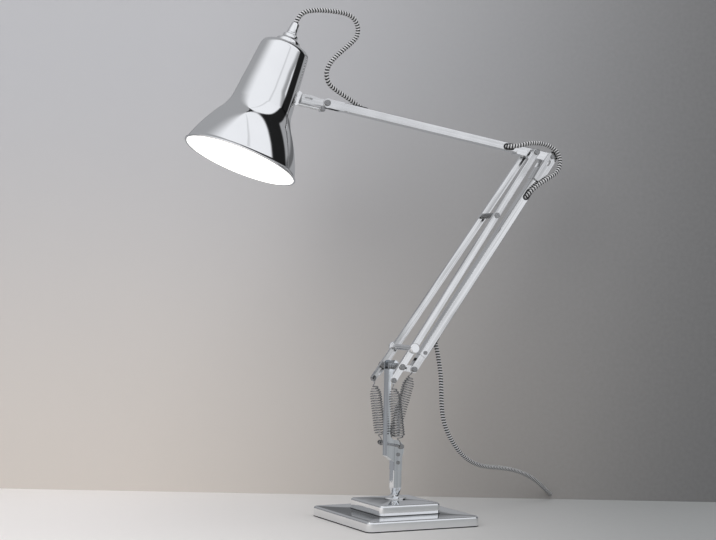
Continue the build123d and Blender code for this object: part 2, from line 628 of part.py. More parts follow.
def grommet(plane, wall, half_length, route=None):
    """A long rubber ring in a wall, around the cord. The plane lies in the wall's outer face and faces out.

    A route that crosses the wall at a slant widens the bore along its way.
    """
    with BuildPart() as ring:
        with BuildSketch(plane):
            SlotOverall(*slot_size(half_length, 0.7))
        extrude(amount=0.9)
        with BuildSketch(plane):
            SlotOverall(*slot_size(half_length, -0.4))
        extrude(amount=-wall)
        with BuildSketch(plane.offset(2.0)):
            SlotOverall(*slot_size(half_length, -0.9))
        extrude(amount=-4.0 - wall, mode=Mode.SUBTRACT)
        if route:
            add(swept_cord(route, CORD_RADIUS + CORD_ROOM)[0], mode=Mode.SUBTRACT)
    return ring.part


def link_side(along):
    return member(CRANK_END + LOWER_WAY * along, LOWER_ANGLE, -LINK_WIDTH / 2)


def link_back(along):
    out = turned(LOWER_ANGLE - 90)
    return Plane(origin=(CRANK_END + LOWER_WAY * along + out * (LINK_DEPTH / 2)),
                 x_dir=LOWER_WAY, z_dir=out)


def upper_arm_tube():
    front = -UPPER_ARM + FORK_LENGTH
    with BuildPart() as tube:
        with BuildSketch(Plane(origin=(ELBOW + UPPER_WAY * front), x_dir=(0, 1, 0), z_dir=UPPER_WAY)):
            RectangleRounded(TUBE_SIDE, TUBE_SIDE, 1.4)
            inner = TUBE_SIDE - 2 * TUBE_WALL
            Rectangle(inner, inner, mode=Mode.SUBTRACT)
        extrude(amount=TUBE_TAIL - front)
        with BuildSketch(arm_side(ARM_CORD_IN)):
            SlotOverall(*slot_size(GROMMET_LONG, -0.4))
        extrude(amount=-2 * TUBE_WALL, mode=Mode.SUBTRACT)
        with BuildSketch(arm_top(HEAD_CORD_OUT)):
            SlotOverall(*slot_size(GROMMET_LONG_FRONT, -0.4))
        extrude(amount=-2 * TUBE_WALL, mode=Mode.SUBTRACT)
        with Locations(across(ELBOW, -TUBE_SIDE)):
            Cylinder(PIN_RADIUS + RUNNING, 2 * TUBE_SIDE, align=MIDDLE_UP, mode=Mode.SUBTRACT)
    return tube.part


HEAD_CORD_OUT = -UPPER_ARM + 52.0


def arm_side(along):
    return member(ELBOW + UPPER_WAY * along, 0, -TUBE_SIDE / 2)


def arm_top(along):
    up = turned(90 - UPPER_SLOPE)
    return Plane(origin=(ELBOW + UPPER_WAY * along + up * (TUBE_SIDE / 2)),
                 x_dir=UPPER_WAY, z_dir=up)


def elbow_saddle():
    """The folded bracket under the upper arm that carries the elbow bolt and the rear link's pin."""
    deep = TUBE_SIDE / 2 + SADDLE_SHEET
    half = TUBE_SIDE / 2 + SADDLE_SHEET
    with BuildPart() as saddle:
        with BuildSketch(member(ELBOW, -UPPER_SLOPE)):
            with BuildLine():
                Line((-SADDLE_FRONT, -deep), (CRANK, -deep))
                ThreePointArc((CRANK, -deep), (CRANK + 5.2, -2.2), (CRANK, 3.0))
                Line((CRANK, 3.0), (8, 4.4))
                Line((8, 4.4), (-8, 4.4))
                Line((-8, 4.4), (-SADDLE_FRONT, -3.0))
                Line((-SADDLE_FRONT, -3.0), (-SADDLE_FRONT, -deep))
            make_face()
        extrude(amount=half, both=True)
        with BuildSketch(member(ELBOW, -UPPER_SLOPE)):
            Rectangle(4 * SADDLE_FRONT, TUBE_SIDE)
        extrude(amount=TUBE_SIDE / 2, both=True, mode=Mode.SUBTRACT)
        with Locations(across(ELBOW, -TUBE_SIDE)):
            Cylinder(PIN_RADIUS + RUNNING, 2 * TUBE_SIDE, align=MIDDLE_UP, mode=Mode.SUBTRACT)
        with Locations(across(LINK_TOP, -TUBE_SIDE)):
            Cylinder(SPRING_PIN_RADIUS + RUNNING, 2 * TUBE_SIDE, align=MIDDLE_UP, mode=Mode.SUBTRACT)
    return saddle.part


def arm_fork():
    """The fork in the front of the upper arm: a plug inside the tube and two ears around the head arm."""
    start = -UPPER_ARM + FORK_LENGTH
    half = HEAD_ARM_WIDTH / 2 + SIDE_GAP + FORK_SHEET
    with BuildPart() as fork:
        with BuildSketch(member(ELBOW, -UPPER_SLOPE)):
            with BuildLine():
                top = TUBE_SIDE / 2
                Line((start, -top), (start, top))
                Line((start, top), (-UPPER_ARM + 4, top))
                ThreePointArc((-UPPER_ARM + 4, top), (-UPPER_ARM - top + 0.6, 0), (-UPPER_ARM + 4, -top))
                Line((-UPPER_ARM + 4, -top), (start, -top))
            make_face()
        extrude(amount=half, both=True)
        with BuildSketch(member(ELBOW, -UPPER_SLOPE)):
            with Locations((-UPPER_ARM, 0)):
                Rectangle(2 * (FORK_LENGTH - 5), 4 * TUBE_SIDE)
        extrude(amount=half - FORK_SHEET, both=True, mode=Mode.SUBTRACT)
        with BuildSketch(member(ELBOW, -UPPER_SLOPE)):
            with Locations((start + 7, 0)):
                Rectangle(14, TUBE_SIDE - 2 * TUBE_WALL - 0.2)
        extrude(amount=TUBE_SIDE / 2 - TUBE_WALL - 0.1, both=True)
        with Locations(across(HEAD_PIVOT, -TUBE_SIDE)):
            Cylinder(HEAD_PIN_RADIUS, 2 * TUBE_SIDE, align=MIDDLE_UP, mode=Mode.SUBTRACT)
    return fork.part


def head_pin():
    half = HEAD_ARM_WIDTH / 2 + SIDE_GAP + FORK_SHEET
    with BuildPart() as pin:
        with Locations(across(HEAD_PIVOT, -half)):
            Cylinder(HEAD_PIN_RADIUS, 2 * half, align=MIDDLE_UP)
        with Locations(across(HEAD_PIVOT, -half - 2.6)):
            Cylinder(4.2, 2.6, align=MIDDLE_UP)
        with BuildSketch(across(HEAD_PIVOT, half)):
            RegularPolygon(4.2, 6, major_radius=False)
        extrude(amount=3.0)
        fillet(pin.faces().sort_by(Axis.Y)[0].edges(), 1.0)
    return pin.part


def shade_point(out, up):
    """A point in the shade's own section: this far out from its axis and this far up from its rim."""
    return RIM + SHADE_OUT * out + SHADE_WAY * up


STAY_EYE = Vector(-5.9, 0, -8.6)
HEAD_ARM_AT = 112.0
HEAD_ARM_END = NECK_RADIUS + 3.6


def head_arm():
    """The flat arm from the pivot to the block on the shade's neck, with the long slot near its end."""
    root = shade_point(HEAD_ARM_END + 4.6, HEAD_ARM_AT)
    way = root - HEAD_PIVOT
    length = way.length
    angle = degrees(atan2(way.Z, way.X))
    half = HEAD_ARM_DEPTH / 2
    with BuildPart() as arm:
        with BuildSketch(member(HEAD_PIVOT, angle)):
            with BuildLine():
                Line((0, -4.4), (12, -4.6))
                Spline((12, -4.6), (20, -half), (length - 3, -half), tangents=((1, 0), (1, 0)))
                Line((length - 3, -half), (length - 3, half))
                Spline((length - 3, half), (20, half), (12, 4.6), tangents=((-1, 0), (-1, 0)))
                Line((12, 4.6), (0, 4.4))
                ThreePointArc((0, 4.4), (-4.4, 0), (0, -4.4))
            make_face()
        extrude(amount=HEAD_ARM_WIDTH / 2, both=True)
        with BuildSketch(member(HEAD_PIVOT, angle)):
            with Locations((length - 13, -1.5)):
                SlotOverall(12, 2.4)
        extrude(amount=HEAD_ARM_WIDTH, both=True, mode=Mode.SUBTRACT)
        with Locations(across(HEAD_PIVOT, -TUBE_SIDE)):
            Cylinder(HEAD_PIN_RADIUS + RUNNING, 2 * TUBE_SIDE, align=MIDDLE_UP, mode=Mode.SUBTRACT)
    return arm.part


def neck_radius(up):
    """The shade's outer radius on the straight taper between its waist and its shoulder."""
    share = (up - WAIST_AT - 8) / (NECK_AT - WAIST_AT - 8)
    return WAIST_RADIUS - 1.4 + (NECK_RADIUS - WAIST_RADIUS + 1.4) * share


def shade_block():
    """The block screwed to the shade's neck that holds the head arm and the stay."""
    low, high = HEAD_ARM_AT - 13, HEAD_ARM_AT + 8
    with BuildPart() as block:
        with BuildSketch(Plane(origin=RIM, x_dir=SHADE_OUT, z_dir=(0, -1, 0))):
            with BuildLine():
                Polyline((neck_radius(low) + 0.15, low), (HEAD_ARM_END + 4.6, low + 2), (HEAD_ARM_END + 4.6, high - 1),
                         (neck_radius(high) + 0.15, high), (neck_radius(low) + 0.15, low))
            make_face()
        extrude(amount=HEAD_ARM_WIDTH / 2 + 1.6, both=True)
    return block.part


def head_stay():
    """The thin rod below the head arm, from the block to an eye under the pivot."""
    start = shade_point(HEAD_ARM_END + 5.2, HEAD_ARM_AT - 8.5)
    end = HEAD_PIVOT + STAY_EYE
    way = end - start
    with BuildPart() as stay:
        with BuildSketch(Plane(origin=start, x_dir=(0, 1, 0), z_dir=way)):
            Circle(STAY_RADIUS)
        extrude(amount=way.length)
        with Locations(across(end, -3.6)):
            Cylinder(3.2, 7.2, align=MIDDLE_UP)
    return stay.part


def head_stay_knob():
    centre = HEAD_PIVOT + STAY_EYE
    with BuildPart() as knob:
        with Locations(across(centre, -3.6 - 3.0)):
            Cylinder(3.4, 3.0, align=MIDDLE_UP)
        fillet(knob.faces().sort_by(Axis.Y)[0].edges(), 1.2)
    return knob.part


def shade():
    """A spun shell: a bell, a waist, a tapering neck and a round shoulder, with a rolled rim and a crown hole."""
    with BuildPart() as shell:
        with BuildSketch(Plane(origin=RIM, x_dir=SHADE_OUT, z_dir=(0, -1, 0))):
            with BuildLine() as outside:
                bell = ThreePointArc((RIM_RADIUS, 0), (66.4, 26), (50.2, 56))
                waist = TangentArc(bell @ 1, (WAIST_RADIUS - 1.4, WAIST_AT + 8), tangent=bell % 1)
                neck = Line(waist @ 1, (NECK_RADIUS, NECK_AT))
                crown = TangentArc(neck @ 1, (CROWN_RADIUS, CROWN_AT), tangent=neck % 1)
                Line(crown @ 1, (CAP_RADIUS - 5, CROWN_AT + 2.2))
            skin = offset(outside.line, amount=SHADE_WALL, side=Side.LEFT, closed=True, mode=Mode.PRIVATE)
            add(make_face(skin.edges(), mode=Mode.PRIVATE))
            with Locations((RIM_RADIUS - 0.4, 0.6)):
                Circle(1.4)
        revolve(axis=Axis(RIM, SHADE_WAY))
    return shell.part


def shade_revolve(points, radius=0.0):
    """A turned piece on the shade's axis from (out, up) corners."""
    with BuildPart() as piece:
        with BuildSketch(Plane(origin=RIM, x_dir=SHADE_OUT, z_dir=(0, -1, 0))) as section:
            with BuildLine():
                Polyline(*points, close=True)
            make_face()
            if radius:
                fillet([v for v in section.vertices() if v.X > 1], radius)
        revolve(axis=Axis(RIM, SHADE_WAY))
    return piece.part


CAP_AT = CROWN_AT + 2.4


def vent_cap():
    high = CAP_AT + CAP_HEIGHT
    bore = GRIP_TIP
    return shade_revolve([(bore, CAP_AT), (CAP_RADIUS, CAP_AT), (CAP_RADIUS, CAP_AT + 5), (CAP_TOP_RADIUS + 2, CAP_AT + 7),
                          (CAP_TOP_RADIUS, CAP_AT + 9), (CAP_TOP_RADIUS, high), (bore, high)])


def cord_grip():
    low = CAP_AT + CAP_HEIGHT
    high = low + GRIP_LENGTH - 6
    return shade_revolve([(CORD_RADIUS + 0.1, low), (GRIP_RADIUS, low), (GRIP_RADIUS, low + 3), (GRIP_TIP, high),
                          (CORD_RADIUS + 0.1, high)])


def lamp_holder():
    high = CROWN_AT - 1.5
    low = high - HOLDER_LENGTH
    return shade_revolve([(0, low + 12), (BULB_NECK + 1.5, low + 12), (BULB_NECK + 1.5, low), (HOLDER_RADIUS, low),
                          (HOLDER_RADIUS, high - 6), (HOLDER_RADIUS - 6, high), (0, high)])


def holder_nipple():
    """The threaded tube that clamps the holder and the vent cap to the crown."""
    return shade_revolve([(CORD_RADIUS + 0.1, CROWN_AT - 1.5), (GRIP_TIP - 0.2, CROWN_AT - 1.5),
                          (GRIP_TIP - 0.2, CAP_AT + CAP_HEIGHT), (CORD_RADIUS + 0.1, CAP_AT + CAP_HEIGHT)])


def bulb():
    """A plain round glass lamp with its cap in the holder."""
    top = CROWN_AT - 1.5 - HOLDER_LENGTH + 11.5
    centre = top - 26 - BULB_RADIUS
    join = sqrt(BULB_RADIUS ** 2 - BULB_NECK ** 2) * 1.0
    with BuildPart() as glass:
        with BuildSketch(Plane(origin=RIM, x_dir=SHADE_OUT, z_dir=(0, -1, 0))):
            with BuildLine():
                Line((0, centre - BULB_RADIUS), (0, top))
                Line((0, top), (BULB_NECK, top))
                Line((BULB_NECK, top), (BULB_NECK, centre + join))
                ThreePointArc((BULB_NECK, centre + join), (BULB_RADIUS, centre), (0, centre - BULB_RADIUS))
            make_face()
        revolve(axis=Axis(RIM, SHADE_WAY))
    return glass.part


def swept_cord(points, radius):
    """A tube along straight runs joined by arcs as large as the runs allow, with its centre line and the arcs' radii."""
    route = [Vector(*p) for p in points]
    runs = [b - a for a, b in zip(route, route[1:])]
    radii = []
    for before, after in zip(runs, runs[1:]):
        turn = radians(before.get_angle(after))
        radii.append(0.45 * min(before.length, after.length) / tan(turn / 2))
    with BuildPart() as tube:
        with BuildLine() as path:
            FilletPolyline(*route, radius=radii)
        with BuildSketch(Plane(origin=route[0], z_dir=runs[0])):
            Circle(radius)
        sweep(path=path.line)
    return tube.part, path.line, radii


def rounded_tube(points, name):
    """A cord's tube. Prints its length and its radii."""
    tube, line, radii = swept_cord(points, CORD_RADIUS)
    length = sum(e.length for e in line.edges())
    print(name, "length", round(length, 1), "radii", [round(r) for r in radii],
          "volume over section times length", round(tube.volume / (pi * CORD_RADIUS ** 2 * length), 4))
    return tube


def biarc(start, way_in, end, way_out):
    """Two arcs, tangent to each other, from start along way_in to end along way_out."""
    chord = end - start
    both = way_in + way_out
    lead = 2 * (1 - way_in.dot(way_out))
    if lead < 1e-9:
        reach = chord.dot(chord) / (4 * chord.dot(way_out))
    else:
        reach = (-chord.dot(both) + sqrt(chord.dot(both) ** 2 + lead * chord.dot(chord))) / lead
    joint = (start + end + (way_in - way_out) * reach) * 0.5
    across_joint = ((end - way_out * reach) - (start + way_in * reach)).normalized()
    return [Edge.make_tangent_arc(start, way_in, joint), Edge.make_tangent_arc(joint, across_joint, end)]


def least_gap(edges, radius, skip):
    """The least distance between stretches of one tube, measured on points that are further apart along it than skip."""
    points = []
    along = 0.0
    for edge in edges:
        steps = max(2, int(edge.length / 0.8))
        for i in range(steps):
            points.append((along + edge.length * i / steps, edge.position_at(i / steps)))
        along += edge.length
    least = 1e9
    for i, (s, p) in enumerate(points):
        for t, q in points[i + 1:]:
            if t - s > skip:
                d = abs(p.X - q.X) + abs(p.Y - q.Y) + abs(p.Z - q.Z)
                if d < 3 * radius * 4:
                    least = min(least, (p - q).length)
    return least - 2 * radius


def wire_solid(edges, radius, way):
    with BuildPart() as solid:
        with BuildSketch(Plane(origin=edges[0].position_at(0), z_dir=way)):
            Circle(radius)
        sweep(path=Wire(edges))
    return solid.part


def spring(top, bottom, turns, name):
    """One wire: an eye round the top pin, a cone, the coils, a quicker cone and an eye round the bottom pin."""
    way = (bottom - top).normalized()
    length = (bottom - top).length
    side = Vector(way.Z, 0, -way.X)
    depth = Vector(0, 1, 0)
    eye = SPRING_PIN_RADIUS + EYE_GAP + WIRE_RADIUS
    neck = 2.1 * eye
    lead = neck + 2 * WIRE_RADIUS
    first = lead + COIL_END_RADIUS
    pitch = (length - 2 * first) / turns

    def coil_radius(turn):
        grow = min(1.0, turn / 4.0, (turns - turn) / 1.5)
        return COIL_END_RADIUS + (COIL_RADIUS - COIL_END_RADIUS) * sin(grow * pi / 2)

    def coil_point(turn):
        a = 2 * pi * turn
        return top + way * (first + pitch * turn) + (side * cos(a) + depth * sin(a)) * coil_radius(turn)

    def coil_way(turn):
        step = 1e-4
        return (coil_point(min(turn + step, turns)) - coil_point(max(turn - step, 0))).normalized()

    def eye_edges(centre, out, flip):
        """From the eye's free end round the pin to the shank's start on the axis. out points to the coil."""
        turn = side * flip
        start = centre + (turn * cos(radians(50)) + out * sin(radians(50))) * eye
        over = centre - out * eye
        left = centre - turn * eye
        shank = centre + out * neck
        return [Edge.make_three_point_arc(start, over, left)] + biarc(left, out, shank, out)

    edges = eye_edges(top, way, 1)
    edges.append(Edge.make_line(top + way * neck, top + way * lead))
    edges += biarc(top + way * lead, way, coil_point(0), coil_way(0))
    for half in range(2 * turns):
        a, b = half / 2, (half + 1) / 2
        edges += biarc(coil_point(a), coil_way(a), coil_point(b), coil_way(b))
    edges += biarc(coil_point(turns), coil_way(turns), bottom - way * lead, way)
    edges.append(Edge.make_line(bottom - way * lead, bottom - way * neck))
    last = eye_edges(bottom, way * -1, 1)
    edges += [Edge.make_line(e.position_at(1), e.position_at(0)) if e.geom_type == GeomType.LINE else
              Edge.make_three_point_arc(e.position_at(1), e.position_at(0.5), e.position_at(0)) for e in reversed(last)]
    print(name, "pitch", round(pitch, 2), "least gap", round(least_gap(edges, WIRE_RADIUS, 6 * WIRE_RADIUS), 2))
    return wire_solid(edges, WIRE_RADIUS, edges[0].tangent_at(0))


DROP = [
    (57.5, 0.0, 248.1), (61.2, 0.0, 236.6), (65.6, 0.5, 218.0), (69.8, 2.0, 199.0), (72.0, 3.5, 177.0), (74.2, 5.5, 153.0),
    (80.0, 8.0, 130.0), (94.0, 12.0, 107.0), (114.5, 17.5, 85.8), (139.0, 26.5, 71.8), (169.0, 39.0, 63.6),
    (203.0, 53.0, 60.0), (239.0, 68.0, 53.0), (274.0, 84.0, 41.8), (304.0, 98.5, 26.5), (328.0, 112.0, 10.5),
    (347.0, 127.0, 3.1), (355.0, 148.0, 3.1), (355.5, 174.0, 3.1), (353.0, 200.0, 3.1),
]
HEAD_LOOP = [
    (-163.5, 0, 665.8), (-159.6, 0, 675.4), (-149.9, 0, 683.4), (-132.4, 0, 687.1), (-111.8, 0, 687.8), (-89.9, 0, 687.0),
    (-76.5, 0, 681.2), (-70.0, 0, 669.6), (-71.8, 0, 656.3), (-81.4, 0, 646.4), (-96.7, 0, 633.5), (-111.4, 0, 618.9),
    (-117.7, 0, 604.4), (-114.0, 0, 590.5), (-102.3, 0, 581.9), (-80.6, 0, 571.5), (-60.2, 0, 558.6),
]


def coil_reach(turn):
    """The coil's radius this many turns along: in for the first layer, then out again."""
    step = 2 * CORD_RADIUS + COIL_GAP
    inner = COIL_MIDDLE - step * COIL_TURNS_IN / 2
    return inner + step * abs(COIL_TURNS_IN - turn)


def drop_heading():
    """The way the cord faces where it reaches the coil, and the way to its left."""
    way = (Vector(*DROP[-1]) - Vector(*DROP[-2])).normalized()
    return way, Vector(-way.Y, way.X, 0)


def coil_place(turn):
    """A point on the coil: a flat spiral, lifted by a layer in the half turn where it starts back out."""
    way, left = drop_heading()
    centre = Vector(*DROP[-1]) + left * coil_reach(0)
    angle = 2 * pi * turn
    share = min(1.0, max(0.0, 2 * (turn - COIL_TURNS_IN) + 0.5))
    lift = (2 * CORD_RADIUS + COIL_GAP) * share * share * (3 - 2 * share)
    return centre + (way * sin(angle) - left * cos(angle)) * coil_reach(turn) + Vector(0, 0, lift)


def coil_heading(turn):
    step = 1e-4
    last = COIL_TURNS_IN + COIL_TURNS_OUT
    return (coil_place(min(turn + step, last)) - coil_place(max(turn - step, 0.0))).normalized()


def cord_coil():
    """The cord that is put away: loops that spiral in on the floor, climb a layer and spiral out again."""
    edges = []
    for quarter in range(int(4 * (COIL_TURNS_IN + COIL_TURNS_OUT))):
        a, b = quarter / 4, (quarter + 1) / 4
        edges += biarc(coil_place(a), coil_heading(a), coil_place(b), coil_heading(b))
    print("cord_coil length", round(sum(e.length for e in edges), 1), "least gap",
          round(least_gap(edges, CORD_RADIUS, 10 * CORD_RADIUS), 2))
    return wire_solid(edges, CORD_RADIUS, coil_heading(0))


def coil_exit():
    """Where the cord leaves the coil's top layer, the level way it faces, and the way to its left."""
    last = COIL_TURNS_IN + COIL_TURNS_OUT
    way = coil_heading(last)
    flat = Vector(way.X, way.Y, 0).normalized()
    return coil_place(last), flat, Vector(-flat.Y, flat.X, 0)


def tail_route():
    """From the coil's top layer down to the floor and along to the plug."""
    end, flat, left = coil_exit()
    drop = Vector(0, 0, DROP[-1][2] - end.Z)
    return [end, end + flat * 17 + drop * 0.05, end + flat * 34 - left * 2 + drop * 0.5,
            end + flat * 52 - left * 4 + drop, end + flat * 70 - left * 4.5 + drop]


def plug_seat():
    route = tail_route()
    return route[-1], (route[-1] - route[-2]).normalized()


def plug_plane(up):
    seat, way = plug_seat()
    return Plane(origin=(seat.X, seat.Y, up), x_dir=(way.Y, -way.X, 0), z_dir=(way.X, way.Y, 0))


def plug_body():
    """A plain round plug lying on its side, with a tapered boot round the cord."""
    with BuildPart() as body:
        with BuildSketch(plug_plane(CORD_RADIUS + 0.1)):
            Circle(CORD_RADIUS + 0.05)
        with BuildSketch(plug_plane(PLUG_RADIUS).offset(16)):
            Circle(PLUG_RADIUS - 3)
        loft()
        with BuildSketch(plug_plane(PLUG_RADIUS).offset(16)):
            Circle(PLUG_RADIUS)
        extrude(amount=PLUG_LENGTH - 16)
        fillet(body.faces().sort_by(Axis(plug_plane(0).origin, plug_plane(0).z_dir))[-1].edges(), 2.0)
    return body.part


def plug_pins():
    with BuildPart() as pins:
        with BuildSketch(plug_plane(PLUG_RADIUS).offset(PLUG_LENGTH)):
            with Locations((-9.5, 0), (9.5, 0)):
                Circle(PLUG_PIN_RADIUS)
        extrude(amount=19)
        fillet(pins.faces().sort_by(Axis(plug_plane(0).origin, plug_plane(0).z_dir))[-2:].edges(), 0.9)
    return pins.part


def head_loop():
    return rounded_tube(HEAD_LOOP, "cord_head_loop")


ELBOW_LOOP = [
    (162.8, -1.9, 521.9), (179.4, -10.7, 522.1), (196.0, -14.2, 527.4), (214.4, -13.6, 529.3), (231.2, -13.6, 527.2),
    (246.5, -13.5, 519.5), (252.7, -13.5, 508.0), (251.8, -13.5, 496.2), (244.8, -13.4, 486.7), (231.8, -14.0, 479.1),
    (219.0, -11.6, 471.0), (207.2, -10.2, 461.2), (197.9, -2.0, 449.4),
]


def elbow_loop():
    return rounded_tube(ELBOW_LOOP, "cord_elbow_loop")


def inner_cord(start, angle, first, last, room):
    """The straight cord that lies on the lower wall inside a tube, room being the tube's inner height."""
    way, low = turned(angle), turned(angle - 90) * (room / 2 - CORD_RADIUS - SIDE_GAP)
    with BuildPart() as cord:
        with BuildSketch(Plane(origin=start + way * first + low, x_dir=(0, 1, 0), z_dir=way)):
            Circle(CORD_RADIUS)
        extrude(amount=last - first)
    return cord.part


def springs_for(side):
    y = side * bar_y(-TAIL)
    name = "spring_near" if side < 0 else "spring_far"
    return spring(SPRING_TOP + Vector(0, y, 0), ANCHOR + Vector(0, y, 0), PAIR_TURNS, name)


PIECES = {
    "base_pad": base_pad,
    "base_lower_cover": base_lower_cover,
    "base_upper_cover": base_upper_cover,
    "base_weight": base_weight,
    "base_collar": base_collar,
    "stem_bar": stem_bar,
    "stem_washer": stem_washer,
    "stem_nut": stem_nut,
    "upright": upright,
    "stem_rivets": stem_rivets,
    "spring_anchor_pin": spring_anchor_pin,
    "spring_near": lambda: springs_for(-1),
    "spring_far": lambda: springs_for(1),
    "spring_rear": lambda: spring(CRANK_END, ANCHOR, REAR_TURNS, "spring_rear"),
    "lower_bar_near": lambda: lower_bar(-1),
    "lower_bar_far": lambda: lower_bar(1),
    "shoulder_bolt": lambda: through_bolt(SHOULDER, 0),
    "shoulder_spacers": lambda: spacers(SHOULDER, 0, STEM_SIDE / 2 + SIDE_GAP),
    "cross_rod": cross_rod,
    "cross_rod_discs": cross_rod_discs,
    "spring_top_pins": spring_top_pins,
    "arm_spacer": arm_spacer,
    "elbow_bolt": lambda: through_bolt(ELBOW, LOWER_ARM),
    "elbow_spacers": lambda: spacers(ELBOW, LOWER_ARM, TUBE_SIDE / 2 + SADDLE_SHEET + SIDE_GAP),
    "crank_plate_near": lambda: crank_plate(-1),
    "crank_plate_far": lambda: crank_plate(1),
    "crank_bush": crank_bush,
    "crank_pin": crank_pin,
    "rear_link_foot": rear_link_foot,
    "rear_link_tube": rear_link_tube,
    "rear_link_head": rear_link_head,
    "rear_link_pin": rear_link_pin,
    "rear_link_screws": rear_link_screws,
    "link_upper_grommet": lambda: grommet(link_side(LINK_CORD_IN), LINK_WALL, GROMMET_LONG, ELBOW_LOOP),
    "link_lower_grommet": lambda: grommet(link_back(LINK_CORD_OUT), LINK_WALL, GROMMET_LONG),
    "upper_arm_tube": upper_arm_tube,
    "elbow_saddle": elbow_saddle,
    "arm_rear_grommet": lambda: grommet(arm_side(ARM_CORD_IN), TUBE_WALL, GROMMET_LONG, ELBOW_LOOP),
    "arm_front_grommet": lambda: grommet(arm_top(HEAD_CORD_OUT), TUBE_WALL, GROMMET_LONG_FRONT),
    "arm_fork": arm_fork,
    "head_pin": head_pin,
    "head_arm": head_arm,
    "shade_block": shade_block,
    "head_stay": head_stay,
    "head_stay_knob": head_stay_knob,
    "shade": shade,
    "vent_cap": vent_cap,
    "cord_grip": cord_grip,
    "lamp_holder": lamp_holder,
    "holder_nipple": holder_nipple,
    "bulb": bulb,
    "cord_head_loop": head_loop,
    "cord_elbow_loop": elbow_loop,
    "cord_in_upper_arm": lambda: inner_cord(ELBOW, -UPPER_SLOPE, HEAD_CORD_OUT + 12, ARM_CORD_IN - 14, TUBE_SIDE - 2 * TUBE_WALL),
    "cord_in_rear_link": lambda: inner_cord(CRANK_END, LOWER_ANGLE, LINK_CORD_OUT + 12, LINK_CORD_IN - 14, LINK_DEPTH - 2 * LINK_WALL),
    "cord_drop": lambda: rounded_tube(DROP, "cord_drop"),
    "cord_coil": cord_coil,
    "cord_tail": lambda: rounded_tube(tail_route(), "cord_tail"),
    "plug_body": plug_body,
    "plug_pins": plug_pins,
}

os.makedirs("parts", exist_ok=True)
for name, make in PIECES.items():
    piece = make()
    piece.label = name
    export_step(piece, f"parts/{name}.step")
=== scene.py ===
"""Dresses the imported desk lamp: chrome, springs, braided cords, a lit shade, a table and a wall.

The camera, the stage, the lights and the grain of the materials are in metres. The sizes of the lamp's
own pieces are in millimetres and become metres through MM. The camera stands where the photograph was
taken from.
"""

from math import atan2, cos, hypot, pi, radians, sin

import bmesh
import bpy
from mathutils import Matrix, Vector


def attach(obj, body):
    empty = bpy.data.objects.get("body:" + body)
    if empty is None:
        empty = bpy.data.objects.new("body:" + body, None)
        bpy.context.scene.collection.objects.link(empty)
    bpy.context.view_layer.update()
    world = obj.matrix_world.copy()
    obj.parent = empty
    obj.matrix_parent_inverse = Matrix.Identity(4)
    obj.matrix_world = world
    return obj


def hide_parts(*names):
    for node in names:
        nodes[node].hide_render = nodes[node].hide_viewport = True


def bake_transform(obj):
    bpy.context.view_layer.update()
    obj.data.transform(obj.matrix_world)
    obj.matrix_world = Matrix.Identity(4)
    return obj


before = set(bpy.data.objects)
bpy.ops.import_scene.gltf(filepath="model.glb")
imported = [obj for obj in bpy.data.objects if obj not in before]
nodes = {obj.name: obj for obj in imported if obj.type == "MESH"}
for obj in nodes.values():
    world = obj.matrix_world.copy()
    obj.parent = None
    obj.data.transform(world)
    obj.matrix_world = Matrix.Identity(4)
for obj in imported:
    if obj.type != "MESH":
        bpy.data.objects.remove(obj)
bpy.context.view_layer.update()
scene = bpy.context.scene
MM = 0.001
QUARTERS = (0.25, 0.5, 0.75, 1.0)

# The arms' angles at rest, in degrees: the lower arm climbs to the right, and the upper arm falls that way.
LOWER_ANGLE = 54.2
UPPER_SLOPE = 8.24


# Camera

CAMERA_AT = Vector((-1.0308, -1.8811, 0.3186))
CAMERA_TURN = 27.21
CAMERA_TILT = 0.63
CAMERA_ROLL = 1.10
FOCAL_PIXELS = 1566
PHOTO_PIXELS_WIDE = 716
SENSOR = 36.0


def place_camera():
    turn, tilt, roll = radians(CAMERA_TURN), radians(CAMERA_TILT), radians(CAMERA_ROLL)
    ahead = Vector((sin(turn) * cos(tilt), cos(turn) * cos(tilt), sin(tilt)))
    level = Vector((cos(turn), -sin(turn), 0))
    upward = level.cross(ahead)
    right = level * cos(roll) + upward * sin(roll)
    up = upward * cos(roll) - level * sin(roll)
    data = bpy.data.cameras.new("camera")
    data.sensor_width = SENSOR
    data.lens = FOCAL_PIXELS / PHOTO_PIXELS_WIDE * SENSOR
    data.clip_start = 0.05
    data.clip_end = 30
    camera = bpy.data.objects.new("camera", data)
    scene.collection.objects.link(camera)
    camera.matrix_world = Matrix.Translation(CAMERA_AT) @ Matrix((right, up, -ahead)).transposed().to_4x4()
    scene.camera = camera


# Words and nodes of the shaders


def fill(tree, socket, value):
    """Links a Word to the socket, or gives the socket a plain value."""
    if isinstance(value, Word):
        tree.links.new(value.socket, socket)
    else:
        socket.default_value = value


def add_node(tree, kind, output=0, settings=None, **values):
    """Any node: its settings first, then values or links for its sockets, by name, or by number as in_0."""
    node = tree.nodes.new("ShaderNode" + kind)
    for key, value in (settings or {}).items():
        setattr(node, key, value)
    for key, value in values.items():
        socket = int(key[3:]) if key.startswith("in_") else key.replace("_", " ")
        fill(tree, node.inputs[socket], value)
    return Word(tree, node.outputs[output])


